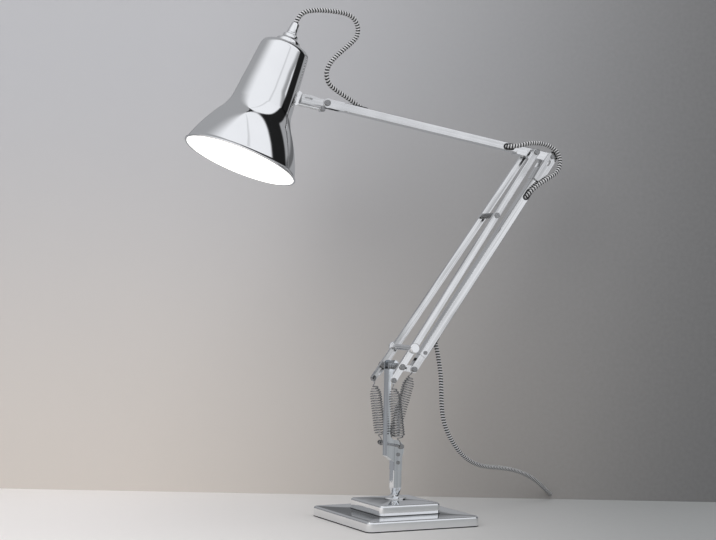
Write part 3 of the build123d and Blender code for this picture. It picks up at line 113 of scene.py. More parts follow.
class Word:
    """A shader socket that takes part in Python sums. Each operator adds one Math node."""

    def __init__(self, tree, socket):
        self.tree = tree
        self.socket = socket

    def math(self, operation, *values):
        numbered = {f"in_{i}": value for i, value in enumerate(values)}
        return add_node(self.tree, "Math", settings={"operation": operation}, **numbered)

    def __add__(self, other):
        return self.math("ADD", self, other)

    def __sub__(self, other):
        return self.math("SUBTRACT", self, other)

    def __rsub__(self, other):
        return self.math("SUBTRACT", other, self)

    def __mul__(self, other):
        return self.math("MULTIPLY", self, other)

    def __truediv__(self, other):
        return self.math("DIVIDE", self, other)

    __radd__ = __add__
    __rmul__ = __mul__

    def part(self):
        """What is left over past the last whole number."""
        return self.math("FRACT", self)

    def size(self):
        """The value without its sign."""
        return self.math("ABSOLUTE", self)

    def step(self, low, high):
        """0 below low, 1 above high, smooth between."""
        smooth = {"interpolation_type": "SMOOTHSTEP"}
        return add_node(self.tree, "MapRange", "Result", smooth, Value=self, From_Min=low, From_Max=high)

    def band(self, rise_from, rise_to, fall_from, fall_to):
        """0, then 1 between the rise and the fall, then 0 again."""
        return self.step(rise_from, rise_to) - self.step(fall_from, fall_to)

    def split(self):
        """The X, Y and Z of a vector."""
        first = add_node(self.tree, "SeparateXYZ", Vector=self)
        return [Word(self.tree, output) for output in first.socket.node.outputs]


class Finish:
    """A material under construction: one Principled shader and whatever feeds it."""

    def __init__(self, name, **fixed):
        self.material = bpy.data.materials.new(name)
        self.material.use_nodes = True
        self.tree = self.material.node_tree
        self.shader = self.tree.nodes["Principled BSDF"]
        self.set(**fixed)

    def set(self, **values):
        """Sets or links the shader's sockets, named with underscores for spaces."""
        for key, value in values.items():
            fill(self.tree, self.shader.inputs[key.replace("_", " ")], value)

    def node(self, kind, output=0, settings=None, **values):
        return add_node(self.tree, kind, output, settings, **values)

    def place(self, scale=(1, 1, 1), lean=0.0):
        """Object coordinates, turned so that X runs at this angle above the frame's X, then stretched."""
        where = self.node("TexCoord", "Object")
        turned = (0, -radians(lean), 0)
        stretch_last = {"vector_type": "TEXTURE"}
        return self.node("Mapping", settings=stretch_last, Vector=where, Scale=scale, Rotation=turned)

    def noise(self, size, detail, place=None):
        """Soft random spots about this many metres wide."""
        place = place or self.place()
        return self.node("TexNoise", Vector=place, Scale=1 / size, Detail=detail, Roughness=0.5)

    def blend(self, share, low, high):
        """A colour between two colours, each a tuple or a Word."""
        return self.node("Mix", 2, {"data_type": "RGBA"}, in_0=share, in_6=low, in_7=high)

    def bump(self, height, depth):
        return self.node("Bump", Height=height, Distance=depth, Strength=1.0)


# Materials


def grey(value, warm=0.0):
    return (value * (1 + warm), value, value * (1 - warm), 1.0)


def tinted(tone, tint):
    return tuple(tone * part for part in tint) + (1.0,)


def plated(name, tone, rough, smear=0.03, tint=(1.0, 1.0, 1.0), lean=None, streak=0.0):
    """Bright plate: a mirror with faint haze, fine wiping scratches and slow waves.

    A drawn bar also has streaks along its lean, darker than its tone by the share called streak.
    """
    metal = Finish(name, Metallic=1.0)
    haze = metal.noise(size=0.03, detail=4)
    rub = metal.noise(size=0.004, detail=2, place=metal.place(scale=(1, 1, 0.11)))
    waves = metal.noise(size=0.045, detail=1)
    colour = metal.blend(haze, tinted(tone * 0.94, tint), tinted(tone, tint))
    if lean is not None:
        drawn = metal.noise(size=0.0035, detail=2, place=metal.place(scale=(60, 1, 1), lean=lean))
        pooled = metal.noise(size=0.05, detail=2, place=metal.place(scale=(2.5, 1, 1), lean=lean))
        streaks = drawn.step(0.35, 0.75) * pooled.step(0.3, 0.7)
        colour = metal.blend(streaks, colour, tinted(tone * (1 - streak), tint))
    metal.set(
        Base_Color=colour,
        Roughness=rough + haze.step(0.35, 0.75) * smear + rub.step(0.45, 0.8) * smear * 0.6,
        Normal=metal.bump(waves + rub * 0.01, depth=0.0004),
    )
    return metal.material


def turned_steel(name, tone, rough):
    """Darker steel with a fine grain."""
    metal = Finish(name, Metallic=1.0)
    grain = metal.noise(size=0.0012, detail=3)
    metal.set(
        Base_Color=metal.blend(grain, grey(tone * 0.8), grey(tone)),
        Roughness=rough + grain * 0.12,
        Normal=metal.bump(grain, depth=0.00002),
    )
    return metal.material


def brass(name):
    metal = Finish(name, Metallic=1.0, Roughness=0.25)
    dark, bright = (0.72, 0.54, 0.25, 1), (0.86, 0.68, 0.36, 1)
    metal.set(Base_Color=metal.blend(metal.noise(size=0.002, detail=3), dark, bright))
    return metal.material


def moulded(name, tone, rough, coat=0.0):
    """Black plastic, rubber or felt with a fine grain and a little dust."""
    plastic = Finish(name, Coat_Weight=coat, Coat_Roughness=0.08)
    grain = plastic.noise(size=0.0007, detail=3)
    dust = plastic.noise(size=0.02, detail=5)
    plastic.set(
        Base_Color=plastic.blend(dust.step(0.45, 0.8), grey(tone), grey(tone + 0.02)),
        Roughness=rough + grain * 0.1,
        Normal=plastic.bump(grain, depth=0.00003),
    )
    return plastic.material


def braided(name):
    """Black and white yarn in a herringbone. U runs round the cord once, V runs along it in metres."""
    cloth = Finish(name, Roughness=0.75, Sheen_Weight=0.15)
    around, along, _ = cloth.node("UVMap", settings={"uv_map": "around_along"}).split()
    columns = 2
    pitch = 0.0039
    chevron = 0.6
    yarns_a_stripe = 4
    slope = ((around * columns).part() - 0.5).size()
    stripe = (along / pitch + slope * chevron).part()
    pale = (stripe - 0.5).size().step(0.25, 0.28)
    yarn = ((along / pitch * yarns_a_stripe + slope * (chevron * yarns_a_stripe)).part() - 0.5).size()
    fuzz = cloth.noise(size=0.0005, detail=2)
    black = cloth.blend(fuzz, grey(0.004), grey(0.014))
    white = cloth.blend(fuzz, grey(0.5), grey(0.7))
    cloth.set(
        Base_Color=cloth.blend(pale, black, white),
        Normal=cloth.bump(yarn * 0.5 + fuzz * 0.3 + slope, depth=0.0002),
    )
    return cloth.material


def enamel(name):
    """The white inside of the shade, with the bulb's light on it painted as a glow of its own."""
    # The emission is painted light: the enamel glows as if lit by the bulb.
    paint = Finish(name, Roughness=0.4, Emission_Strength=0.9)
    peel = paint.noise(size=0.0015, detail=2)
    painted_glow_patches = paint.noise(size=0.05, detail=2)
    paint.set(
        Base_Color=paint.blend(peel, grey(0.86, warm=0.01), grey(0.92, warm=0.01)),
        Emission_Color=paint.blend(painted_glow_patches, (1.0, 0.99, 0.96, 1), (1.0, 1.0, 0.99, 1)),
        Normal=paint.bump(peel, depth=0.00003),
    )
    return paint.material


def lit_glass(name):
    glass = Finish(name, Roughness=0.35, Emission_Strength=1.6)
    mist = glass.noise(size=0.01, detail=3)
    glass.set(
        Base_Color=glass.blend(mist, grey(0.85), grey(0.95)),
        Emission_Color=glass.blend(mist, (1, 0.97, 0.9, 1), (1, 1, 0.97, 1)),
    )
    return glass.material


CHROME = plated("mirror_chrome", tone=0.9, rough=0.03)
BASE_CHROME = plated("base_chrome", tone=0.86, rough=0.035, tint=(0.98, 0.99, 1.0))
UPPER_PLATE = plated("upper_arm_plate", tone=0.9, rough=0.12, smear=0.06, lean=-UPPER_SLOPE, streak=0.25)
LOWER_PLATE = plated("lower_arm_plate", tone=0.88, rough=0.12, smear=0.06, lean=LOWER_ANGLE, streak=0.45)
STEM_PLATE = plated("stem_plate", tone=0.86, rough=0.06, tint=(0.94, 0.97, 1.0), lean=90, streak=0.4)
STEEL = turned_steel("turned_steel", tone=0.36, rough=0.2)
WIRE = turned_steel("spring_wire", tone=0.42, rough=0.2)
IRON = turned_steel("cast_weight", tone=0.12, rough=0.6)
BRASS = brass("plug_brass")
BLACK = moulded("black_plastic", tone=0.012, rough=0.3, coat=0.3)
RUBBER = moulded("black_rubber", tone=0.014, rough=0.5)
FELT = moulded("black_pad", tone=0.01, rough=0.85)
BRAID = braided("herringbone_braid")
ENAMEL = enamel("white_enamel_painted_glow")
BULB = lit_glass("lit_bulb")


# Stage

WALL_DISTANCE = 2.402
WALL_SHIFT = 0.02
WALL_HEIGHT = 1.6
# The wall ends just past the picture's right edge.
WALL_LEFT = -2.6
WALL_RIGHT = 0.78
TABLE_HALF_WIDTH = 2.6
TABLE_DEPTH = 3.2


def stage_plane(name, corners, material):
    mesh = bpy.data.meshes.new(name)
    mesh.from_pydata(corners, [], [(0, 1, 2, 3)])
    plane = bpy.data.objects.new(name, mesh)
    plane.data.materials.append(material)
    scene.collection.objects.link(plane)
    return plane


def wall_paint():
    """Pale grey plaster with painted light: lighter and warmer towards the lower left, and painted shade
    darker to the right.
    """
    paint = Finish("wall", Roughness=0.9, Specular_IOR_Level=0.1)
    across, _, height = paint.place().split()
    # Painted light and shade: a warm lit patch at the lower left, dimmer higher up, and painted shade to the
    # right.
    painted_lit_low_left, painted_dim_high_left, right = (0.62, 0.57, 0.52, 1), (0.49, 0.49, 0.505, 1), (0.145, 0.145, 0.145, 1)
    left = paint.blend(height.step(-0.1, 0.7), painted_lit_low_left, painted_dim_high_left)
    colour = paint.blend((across - height * 0.12).step(-0.40, 0.62), left, right)
    mottle = paint.noise(size=0.006, detail=4)
    # From behind the wall is clear, so that the lamp shows from every side.
    clear = paint.node("NewGeometry", "Backfacing")
    paint.set(Base_Color=paint.blend(mottle * 0.12, colour, grey(0.5)), Alpha=1 - clear)
    return paint.material


def table_paint():
    """A pale matt top with painted light: warm and light on the left, and painted shade grey on the right.
    """
    top = Finish("table", Roughness=0.55)
    across = top.place().split()[0]
    mottle = top.noise(size=0.01, detail=4)
    # Painted light on the left fading to painted shade on the right.
    colour = top.blend(across.step(-0.5, 0.5), (0.88, 0.84, 0.81, 1), (0.29, 0.295, 0.29, 1))
    top.set(Base_Color=top.blend(mottle * 0.1, colour, grey(0.6)))
    return top.material


def build_stage():
    """The table's back edge is the wall's foot, square to the camera's way."""
    turn = radians(CAMERA_TURN)
    ahead = Vector((sin(turn), cos(turn), 0))
    right = Vector((cos(turn), -sin(turn), 0))
    foot = Vector((CAMERA_AT.x, CAMERA_AT.y, 0)) + ahead * WALL_DISTANCE
    # Each plane's own X is its width and the wall's Z is its height, so the paint can follow them.
    low = [(WALL_LEFT, 0, 0), (WALL_RIGHT, 0, 0)]
    high = [(WALL_RIGHT, 0, WALL_HEIGHT), (WALL_LEFT, 0, WALL_HEIGHT)]
    wall = stage_plane("wall", low + high, wall_paint())
    wall.matrix_world = Matrix.Translation(foot + right * WALL_SHIFT) @ Matrix.Rotation(-turn, 4, "Z")
    wall.visible_glossy = False
    front = [(-TABLE_HALF_WIDTH, -TABLE_DEPTH, 0), (TABLE_HALF_WIDTH, -TABLE_DEPTH, 0)]
    back = [(TABLE_HALF_WIDTH, 0, 0), (-TABLE_HALF_WIDTH, 0, 0)]
    table = stage_plane("table", front + back, table_paint())
    table.matrix_world = wall.matrix_world.copy()


# Light

# Bearings of the drawn studio's parts, in radians round from straight behind the camera, positive to its
# right, and one height, as the Z of the direction. A band of four rises between the first two and falls
# between the last two, and a gap of two fades between them.
BLACK_FLAG = (1.45, 1.55, 2.05, 2.15)
TENT_SEAM = (0.62, 0.66, 0.70, 0.78)
TENT_EDGE_HEIGHT = (0.12, 0.14, 0.18, 0.26)
LEFT_GAP = (-2.1, -0.7)
RIGHT_GAP = (1.5, 1.6)
COOL_TINT = (0.965, 0.985, 1.03)


def soft_light(name, at, target, width, height, watts):
    data = bpy.data.lights.new(name, "AREA")
    data.shape = "RECTANGLE"
    data.size = width
    data.size_y = height
    data.energy = watts
    light = bpy.data.objects.new(name, data)
    light.location = at
    light.rotation_euler = (Vector(target) - Vector(at)).to_track_quat("-Z", "Y").to_euler()
    scene.collection.objects.link(light)
    # The plate mirrors the drawn studio in the world, and not the lamps' hard edges.
    light.visible_glossy = False


def draw_studio(tree):
    """The world's tone: a soft glow for the light it gives, and the drawn studio for what the plate mirrors.

    The studio is a big pale tent in front, a black flag on the right, and dim gaps behind on both sides.
    """
    turn = radians(CAMERA_TURN)
    east, north, height = add_node(tree, "TexCoord", "Generated").split()
    right = east * cos(turn) - north * sin(turn)
    behind = east * -sin(turn) - north * cos(turn)
    bearing = right.math("ARCTAN2", right, behind)
    glow = height.step(-0.5, 0.9) * 0.5 + 0.32
    tent = height.step(-0.2, 0.8) * 0.12 + 0.84
    darker_parts = (
        (bearing.band(*BLACK_FLAG), 0.96),
        (bearing.band(*TENT_SEAM), 0.22),
        (1 - bearing.step(*LEFT_GAP), 0.6),
        (bearing.step(*RIGHT_GAP), 0.6),
        (height.band(*TENT_EDGE_HEIGHT), 0.6),
    )
    for mask, darkness in darker_parts:
        tent = tent * (1 - mask * darkness)
    return glow + (tent - glow) * add_node(tree, "LightPath", "Is Glossy Ray")


def light_scene():
    soft_light("window", at=(-2.2, -1.6, 1.6), target=(0, 0, 0.35), width=1.4, height=1.8, watts=26)
    soft_light("fill", at=(1.4, -2.4, 1.2), target=(0, 0, 0.35), width=1.2, height=1.2, watts=9)
    soft_light("top", at=(0.1, -0.4, 2.4), target=(0, 0, 0.3), width=1.6, height=1.2, watts=14)
    world = bpy.data.worlds.new("studio")
    scene.world = world
    world.use_nodes = True
    tree = world.node_tree
    tone = draw_studio(tree)
    colour = add_node(tree, "VectorMath", settings={"operation": "SCALE"}, in_0=COOL_TINT, Scale=tone)
    backdrop = tree.nodes["Background"]
    fill(tree, backdrop.inputs["Color"], colour)
    fill(tree, backdrop.inputs["Strength"], 1.0)


# Mesh helpers

ON_AXIS = 1e-7


def finished(name, bm, *materials, flat_above):
    """The bmesh as an object of its own, smooth except at edges sharper than this many degrees."""
    mesh = bpy.data.meshes.new(name)
    bm.to_mesh(mesh)
    bm.free()
    piece = bpy.data.objects.new(name, mesh)
    scene.collection.objects.link(piece)
    for material in materials:
        mesh.materials.append(material)
    mesh.polygons.foreach_set("use_smooth", [True] * len(mesh.polygons))
    mesh.set_sharp_from_angle(angle=radians(flat_above))
    return piece


def ring_round(bm, centre, out, depth, radius, sides):
    """A circle of points round the centre, in the plane of these two directions."""
    angles = [2 * pi * i / sides for i in range(sides)]
    return [bm.verts.new(centre + (out * cos(a) + depth * sin(a)) * radius) for a in angles]


def bridge(bm, first, second, material=0):
    """Faces between two closed rings of the same count."""
    count = len(first)
    for i in range(count):
        j = (i + 1) % count
        bm.faces.new((first[i], first[j], second[j], second[i])).material_index = material


def fan(bm, tip, ring, material=0):
    """Triangles from one point on the axis to a closed ring."""
    count = len(ring)
    for i in range(count):
        bm.faces.new((tip, ring[(i + 1) % count], ring[i])).material_index = material


def lathe(name, foot, axis, out, profile, *materials, sides, parts=None, flat_above=32):
    """A turned piece: (radius, height) corners spun round an axis.

    parts gives the material's number for each stretch from one corner to the next.
    """
    depth = axis.cross(out)
    bm = bmesh.new()
    rings = []
    for radius, height in profile:
        centre = foot + axis * height
        on_axis = radius < ON_AXIS
        ring = [bm.verts.new(centre)] if on_axis else ring_round(bm, centre, out, depth, radius, sides)
        rings.append(ring)
    for k, (low, high) in enumerate(zip(rings, rings[1:])):
        material = parts[k] if parts else 0
        if len(low) == 1:
            fan(bm, low[0], high, material)
        elif len(high) == 1:
            fan(bm, high[0], low, material)
        else:
            bridge(bm, low, high, material)
    bmesh.ops.recalc_face_normals(bm, faces=bm.faces[:])
    return finished(name, bm, *materials, flat_above=flat_above)


def arc(start, middle, end, steps):
    """Points along the arc through three flat points, the first one left out."""
    (ax, ay), (bx, by), (cx, cy) = start, middle, end
    a2, b2, c2 = ax * ax + ay * ay, bx * bx + by * by, cx * cx + cy * cy
    spread = 2 * (ax * (by - cy) + bx * (cy - ay) + cx * (ay - by))
    ux = (a2 * (by - cy) + b2 * (cy - ay) + c2 * (ay - by)) / spread
    uy = (a2 * (cx - bx) + b2 * (ax - cx) + c2 * (bx - ax)) / spread
    first = atan2(ay - uy, ax - ux)
    through = atan2(by - uy, bx - ux)
    last = atan2(cy - uy, cx - ux)
    sweep = (last - first) % (2 * pi)
    if (through - first) % (2 * pi) > sweep:
        sweep -= 2 * pi
    radius = hypot(ax - ux, ay - uy)
    angles = [first + sweep * i / steps for i in range(1, steps + 1)]
    return [(ux + radius * cos(a), uy + radius * sin(a)) for a in angles]


def tangent_arc(start, way, end, steps):
    """Points along the arc that leaves start this way and reaches end."""
    chord = Vector(end) - Vector(start)
    way = Vector(way).normalized()
    normal = Vector((-way.y, way.x))
    radius = chord.length_squared / (2 * chord.dot(normal))
    centre = Vector(start) + normal * radius
    to_start = (Vector(start) - centre).normalized()
    to_end = (Vector(end) - centre).normalized()
    middle = centre + (to_start + to_end).normalized() * abs(radius)
    return arc(start, tuple(middle), end, steps)


def smooth_route(points):
    """The line of a NURBS curve: control points in millimetres give a list of points in metres."""
    data = bpy.data.curves.new("route", "CURVE")
    data.dimensions = "3D"
    data.resolution_u = 10
    spline = data.splines.new("NURBS")
    spline.points.add(len(points) - 1)
    for control, point in zip(spline.points, points):
        control.co = (*(Vector(point) * MM), 1)
    spline.order_u = 3
    spline.use_endpoint_u = True
    holder = bpy.data.objects.new("route", data)
    scene.collection.objects.link(holder)
    mesh = bpy.data.meshes.new_from_object(holder.evaluated_get(bpy.context.evaluated_depsgraph_get()))
    line = [v.co.copy() for v in mesh.vertices]
    bpy.data.objects.remove(holder)
    return line


def distances(line):
    """How far along the line each of its points is."""
    along = [0.0]
    for a, b in zip(line, line[1:]):
        along.append(along[-1] + (b - a).length)
    return along


def carried_frames(line):
    """A tangent and a side at each point, turned as little as possible from one to the next."""
    last = len(line) - 1
    tangents = [(line[min(i + 1, last)] - line[max(i - 1, 0)]).normalized() for i in range(len(line))]
    side = tangents[0].orthogonal().normalized()
    frames = []
    for before, now in zip([tangents[0]] + tangents, tangents):
        side = before.rotation_difference(now) @ side
        side = (side - now * side.dot(now)).normalized()
        frames.append((now, side))
    return frames


def tube(name, line, frames, radius, material, sides, start_at=0.0):
    """A closed tube along a line, with a UV map that runs round it once and along it in metres."""
    bm = bmesh.new()
    uv = bm.loops.layers.uv.new("around_along")
    along = [start_at + distance for distance in distances(line)]
    rings = [ring_round(bm, point, side, tangent.cross(side), radius, sides)
             for point, (tangent, side) in zip(line, frames)]
    for k, (low, high) in enumerate(zip(rings, rings[1:])):
        for i in range(sides):
            j = (i + 1) % sides
            face = bm.faces.new((low[i], low[j], high[j], high[i]))
            corners = ((i, along[k]), (i + 1, along[k]), (i + 1, along[k + 1]), (i, along[k + 1]))
            for loop, (u, v) in zip(face.loops, corners):
                loop[uv].uv = (u / sides, v)
    for ring, spot in ((rings[0][::-1], along[0]), (rings[-1], along[-1])):
        for loop in bm.faces.new(ring).loops:
            loop[uv].uv = (0.5, spot)
    return finished(name, bm, material, flat_above=60)


# Cords

CORD_RADIUS = 3.0
LOOP_SIDES = 20
DROP_SIDES = 16
COIL_GAP = 0.6
COIL_TURNS_IN = 3.5
COIL_TURNS_OUT = 3.75
COIL_MIDDLE = 33.0
COIL_POINTS_A_TURN = 16
# A spline cuts inside its control points, so they stand this power of their half angle's cosine further out.
SPLINE_CUT = 0.6
# The tail to the plug: millimetres ahead, millimetres aside and the share of the way down to the table.
TAIL = [(17, 0, 0.05), (34, 2, 0.5), (52, 4, 1), (70, 4.5, 1)]
# Heights in metres where the mains cord is cut: beside the stem, and where it comes to lie on the table.
CUT_BESIDE_STEM = 0.16
CUT_ON_TABLE = 0.0032
DROP = [
    (57.5, 0.0, 248.1), (61.2, 0.0, 236.6), (65.6, 0.5, 218.0), (69.8, 2.0, 199.0), (72.0, 3.5, 177.0),
    (74.2, 5.5, 153.0), (80.0, 8.0, 130.0), (94.0, 12.0, 107.0), (114.5, 17.5, 85.8), (139.0, 26.5, 71.8),
    (169.0, 39.0, 63.6), (203.0, 53.0, 60.0), (239.0, 68.0, 53.0), (274.0, 84.0, 41.8), (304.0, 98.5, 26.5),
    (328.0, 112.0, 10.5), (347.0, 127.0, 3.1), (355.0, 148.0, 3.1), (355.5, 174.0, 3.1), (353.0, 200.0, 3.1),
]
HEAD_LOOP = [
    (-163.5, 0, 665.8), (-159.6, 0, 675.4), (-149.9, 0, 683.4), (-132.4, 0, 687.1), (-111.8, 0, 687.8),
    (-89.9, 0, 687.0), (-76.5, 0, 681.2), (-70.0, 0, 669.6), (-71.8, 0, 656.3), (-81.4, 0, 646.4),
    (-96.7, 0, 633.5), (-111.4, 0, 618.9), (-117.7, 0, 604.4), (-114.0, 0, 590.5), (-102.3, 0, 581.9),
    (-80.6, 0, 571.5), (-60.2, 0, 558.6),
]
ELBOW_LOOP = [
    (162.8, -1.9, 521.9), (179.4, -10.7, 522.1), (196.0, -14.2, 527.4), (214.4, -13.6, 529.3),
    (231.2, -13.6, 527.2), (246.5, -13.5, 519.5), (252.7, -13.5, 508.0), (251.8, -13.5, 496.2),
    (244.8, -13.4, 486.7), (231.8, -14.0, 479.1), (219.0, -11.6, 471.0), (207.2, -10.2, 461.2),
    (197.9, -2.0, 449.4),
]


def coil_route():
    """The put-away loops, inwards on the table and out again a layer higher, and the tail to the plug."""
    before_last, last = Vector(DROP[-2]), Vector(DROP[-1])
    way = (last - before_last).normalized()
    left = Vector((-way.y, way.x, 0))
    step = 2 * CORD_RADIUS + COIL_GAP
    inner = COIL_MIDDLE - step * COIL_TURNS_IN / 2
    total = COIL_TURNS_IN + COIL_TURNS_OUT
    spread = cos(pi / COIL_POINTS_A_TURN) ** SPLINE_CUT

    def reach(turn):
        return inner + step * abs(COIL_TURNS_IN - turn)

    def place(turn):
        """A point of the spiral, a layer higher past the half turn in which it climbs."""
        share = min(1.0, max(0.0, 2 * (turn - COIL_TURNS_IN) + 0.5))
        climb = Vector((0, 0, step * share * share * (3 - 2 * share)))
        angle = 2 * pi * turn
        round_it = (way * sin(angle) - left * cos(angle)) * (reach(turn) / spread)
        return last + left * reach(0) + round_it + climb

    turns = [place(i / COIL_POINTS_A_TURN) for i in range(1, int(total * COIL_POINTS_A_TURN) + 1)]
    end = place(total)
    leaving = end - place(total - 1e-3)
    flat = Vector((leaving.x, leaving.y, 0)).normalized()
    side = Vector((-flat.y, flat.x, 0))
    drop = Vector((0, 0, last.z - end.z))
    tail = [end + flat * ahead - side * aside + drop * share for ahead, aside, share in TAIL]
    return [tuple(point) for point in turns + tail]


def first_below(line, height):
    """The number of the first point along the line that is below this height."""
    return next(i for i, point in enumerate(line) if point.z < height)


def make_loops():
    """The cord's two free stretches, over the head and over the elbow, each from its exit to its far end."""
    radius = CORD_RADIUS * MM
    # Each body goes with the number of the point, first or last, that it holds.
    loops = (
        ("cord_over_head", HEAD_LOOP, "cord_head_loop", ("upper_arm", -1), ("head", 0)),
        ("cord_over_elbow", ELBOW_LOOP, "cord_elbow_loop", ("upper_arm", 0), ("rear_link", -1)),
    )
    for name, points, node, (inner_body, start), (outer_body, end) in loops:
        line = smooth_route(points)
        piece = tube(name, line, carried_frames(line), radius, BRAID, sides=LOOP_SIDES)
        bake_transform(piece)
        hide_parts(node)
        distances(line)[-1]


def make_mains_cord():
    """One line from the rear link to the plug, cut in three where it changes from body to body."""
    radius = CORD_RADIUS * MM
    line = smooth_route(DROP + coil_route())
    frames = carried_frames(line)
    along = distances(line)
    upper = first_below(line, CUT_BESIDE_STEM)
    lower = first_below(line, CUT_ON_TABLE)
    cuts = (
        ("cord_from_link", 0, upper, ("stem", "lower_arm")),
        ("cord_drop_to_table", upper, lower, ("base", "stem")),
        ("cord_coil_and_tail", lower, len(line) - 1, None),
    )
    for name, first, last, bodies in cuts:
        part = line[first:last + 1]
        piece = tube(name, part, frames[first:last + 1], radius, BRAID, DROP_SIDES, start_at=along[first])
        if bodies:
            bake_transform(piece)
        else:
            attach(piece, "base")
            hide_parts("cord_drop", "cord_coil", "cord_tail")


# Springs

SHOULDER = Vector((-8.5, 0, 212.0))
ANCHOR = Vector((-8.5, 0, 105.0))
LOWER_LENGTH = 374.7
CRANK_LENGTH = 32.5
# The side springs hook on the lower bars' tails, this far past the shoulder.
TAIL_LENGTH = 22.2
LOWER_WAY = Vector((cos(radians(LOWER_ANGLE)), 0, sin(radians(LOWER_ANGLE))))
UPPER_WAY = Vector((cos(radians(UPPER_SLOPE)), 0, -sin(radians(UPPER_SLOPE))))
SPRING_TOP = SHOULDER - LOWER_WAY * TAIL_LENGTH
CRANK_END = SHOULDER + UPPER_WAY * CRANK_LENGTH
# The bars stand this far off the middle at the shoulder and come this much closer by the elbow.
BAR_SIDE = 26.5
BAR_TAPER = 13.0
SPRING_SIDE = BAR_SIDE + BAR_TAPER * TAIL_LENGTH / LOWER_LENGTH
PIN_RADIUS = 2.0
WIRE_RADIUS = 0.8
COIL_RADIUS = 7.6
COIL_END_RADIUS = 3.0
CONE_TURNS_TOP = 4.0
CONE_TURNS_BOTTOM = 1.5
SPRING_POINTS_A_TURN = 22
WIRE_SIDES = 8
EYE_CLEARANCE = 0.3
EYE_ANGLES = range(50, -181, -11)
# How far the hook's shank reaches from the pin, in radii of its eye.
SHANK_REACH = 2.1
# Between the shank's end and the first coil: millimetres further along and millimetres out from the middle.
LEAD_POINTS = ((1.2, 0.6), (2.6, 1.9))
SIDE_TURNS = 20
REAR_TURNS = 26
# The rear spring is cut here, as a share of the way down from the crank.
REAR_CUT = 0.25


def spring_line(top, bottom, turns):
    """The wire's centre line: an eye, a cone, the coils, a cone and an eye, all by formula."""
    way = (bottom - top).normalized()
    side = Vector((way.z, 0, -way.x))
    depth = Vector((0, 1, 0))
    eye = PIN_RADIUS + EYE_CLEARANCE + WIRE_RADIUS
    shank = SHANK_REACH * eye
    first = shank + 2 * WIRE_RADIUS + COIL_END_RADIUS
    pitch = ((bottom - top).length - 2 * first) / turns

    def coil(turn):
        grow = min(1.0, turn / CONE_TURNS_TOP, (turns - turn) / CONE_TURNS_BOTTOM)
        radius = COIL_END_RADIUS + (COIL_RADIUS - COIL_END_RADIUS) * sin(grow * pi / 2)
        a = 2 * pi * turn
        return top + way * (first + pitch * turn) + (side * cos(a) + depth * sin(a)) * radius

    def hook(centre, out):
        """The eye from its free end round the pin and in to the axis."""
        angles = [radians(a) for a in EYE_ANGLES]
        ring = [centre + (side * cos(a) + out * sin(a)) * eye for a in angles]
        return ring + [centre - side * eye * (1 - t) ** 2 + out * shank * t ** 0.8 for t in QUARTERS]

    def lead(centre, out):
        """The points that take the wire from the hook's shank out to the first coil."""
        return [centre + out * (shank + further) + side * aside for further, aside in LEAD_POINTS]

    coils = [coil(i / SPRING_POINTS_A_TURN) for i in range(SPRING_POINTS_A_TURN * turns + 1)]
    upper_end = hook(top, way) + lead(top, way)
    lower_end = hook(bottom, -way) + lead(bottom, -way)
    return [point * MM for point in upper_end + coils + lower_end[::-1]]


def spring_wire(name, line, frames):
    piece = tube(name, line, frames, WIRE_RADIUS * MM, WIRE, sides=WIRE_SIDES)
    return piece


def make_springs():
    for name, y in (("near", -SPRING_SIDE), ("far", SPRING_SIDE)):
        shift = Vector((0, y, 0))
        line = spring_line(SPRING_TOP + shift, ANCHOR + shift, SIDE_TURNS)
        piece = spring_wire(f"balance_spring_{name}", line, carried_frames(line))
        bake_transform(piece)
        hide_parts(f"spring_{name}")
    line = spring_line(CRANK_END, ANCHOR, REAR_TURNS)
    frames = carried_frames(line)
    cut = int(len(line) * REAR_CUT)
    upper = spring_wire("balance_spring_rear_top", line[:cut + 1], frames[:cut + 1])
    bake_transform(upper)
    lower = spring_wire("balance_spring_rear", line[cut:], frames[cut:])
    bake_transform(lower)
    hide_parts("spring_rear")


# Head

RIM = Vector((-239.2, 0, 480.3))
SHADE_TILT = 22.2
SHADE_WAY = Vector((sin(radians(SHADE_TILT)), 0, cos(radians(SHADE_TILT))))
SHADE_OUT = Vector((cos(radians(SHADE_TILT)), 0, -sin(radians(SHADE_TILT))))
SHADE_WALL = 1.0
RIM_CORNER = (75.9, 0.0)
BELL_MIDDLE = (66.4, 26.0)
BELL_END = (50.2, 56.0)
WAIST_RADIUS = 41.2
WAIST_HEIGHT = 78.0
NECK_LENGTH = 80.0
# How fast the neck narrows upwards, as a change of radius over a height.
NECK_SLOPE = (34.6 - WAIST_RADIUS) / 68
CROWN_CORNER = (26.6, 166.6)
CROWN = [(22.0, 168.0), (16.0, 168.6)]
BEAD_RADIUS = 1.5
BEAD_MIDDLE = (75.5, 0.5)
BEAD_ANGLES = range(30, -151, -20)
BELL_STEPS = 26
BEND_STEPS = 14
SHADE_SIDES = 160
# Each fitting's outline is (radius, height above its own foot), and each foot is a height above the rim.
VENT_FOOT = 169.4
VENT_COLLAR = [
    (5.2, 0.0), (15.9, 0.0), (16.3, 0.5), (16.3, 4.2), (15.8, 5.0), (13.2, 6.2), (11.6, 7.2), (10.5, 8.8),
    (10.3, 9.6), (10.3, 12.7), (9.6, 13.5), (5.2, 13.5),
]
GRIP_FOOT = VENT_FOOT + 13.5
CORD_GRIP = [
    (3.1, 0.0), (7.0, 0.0), (7.2, 0.4), (7.2, 3.0), (6.7, 3.5), (6.5, 7.0), (5.5, 16.3), (4.9, 17.5),
    (3.1, 17.5),
]
HOLDER_FOOT = 113.5
LAMP_HOLDER = [
    (0.0, 12.0), (14.5, 12.0), (14.5, 0.0), (18.6, 0.0), (19.0, 0.5), (19.0, 18.0), (18.2, 18.5),
    (18.2, 21.0), (19.0, 21.5), (19.0, 45.0), (18.0, 47.0), (13.0, 52.0), (0.0, 52.0),
]
BULB_FOOT = 41.0
BULB_RADIUS = 29.0
BULB_NECK = [(16.5, 56.0), (13.6, 63.0), (13.0, 69.0), (13.0, 84.0), (0.0, 84.0)]


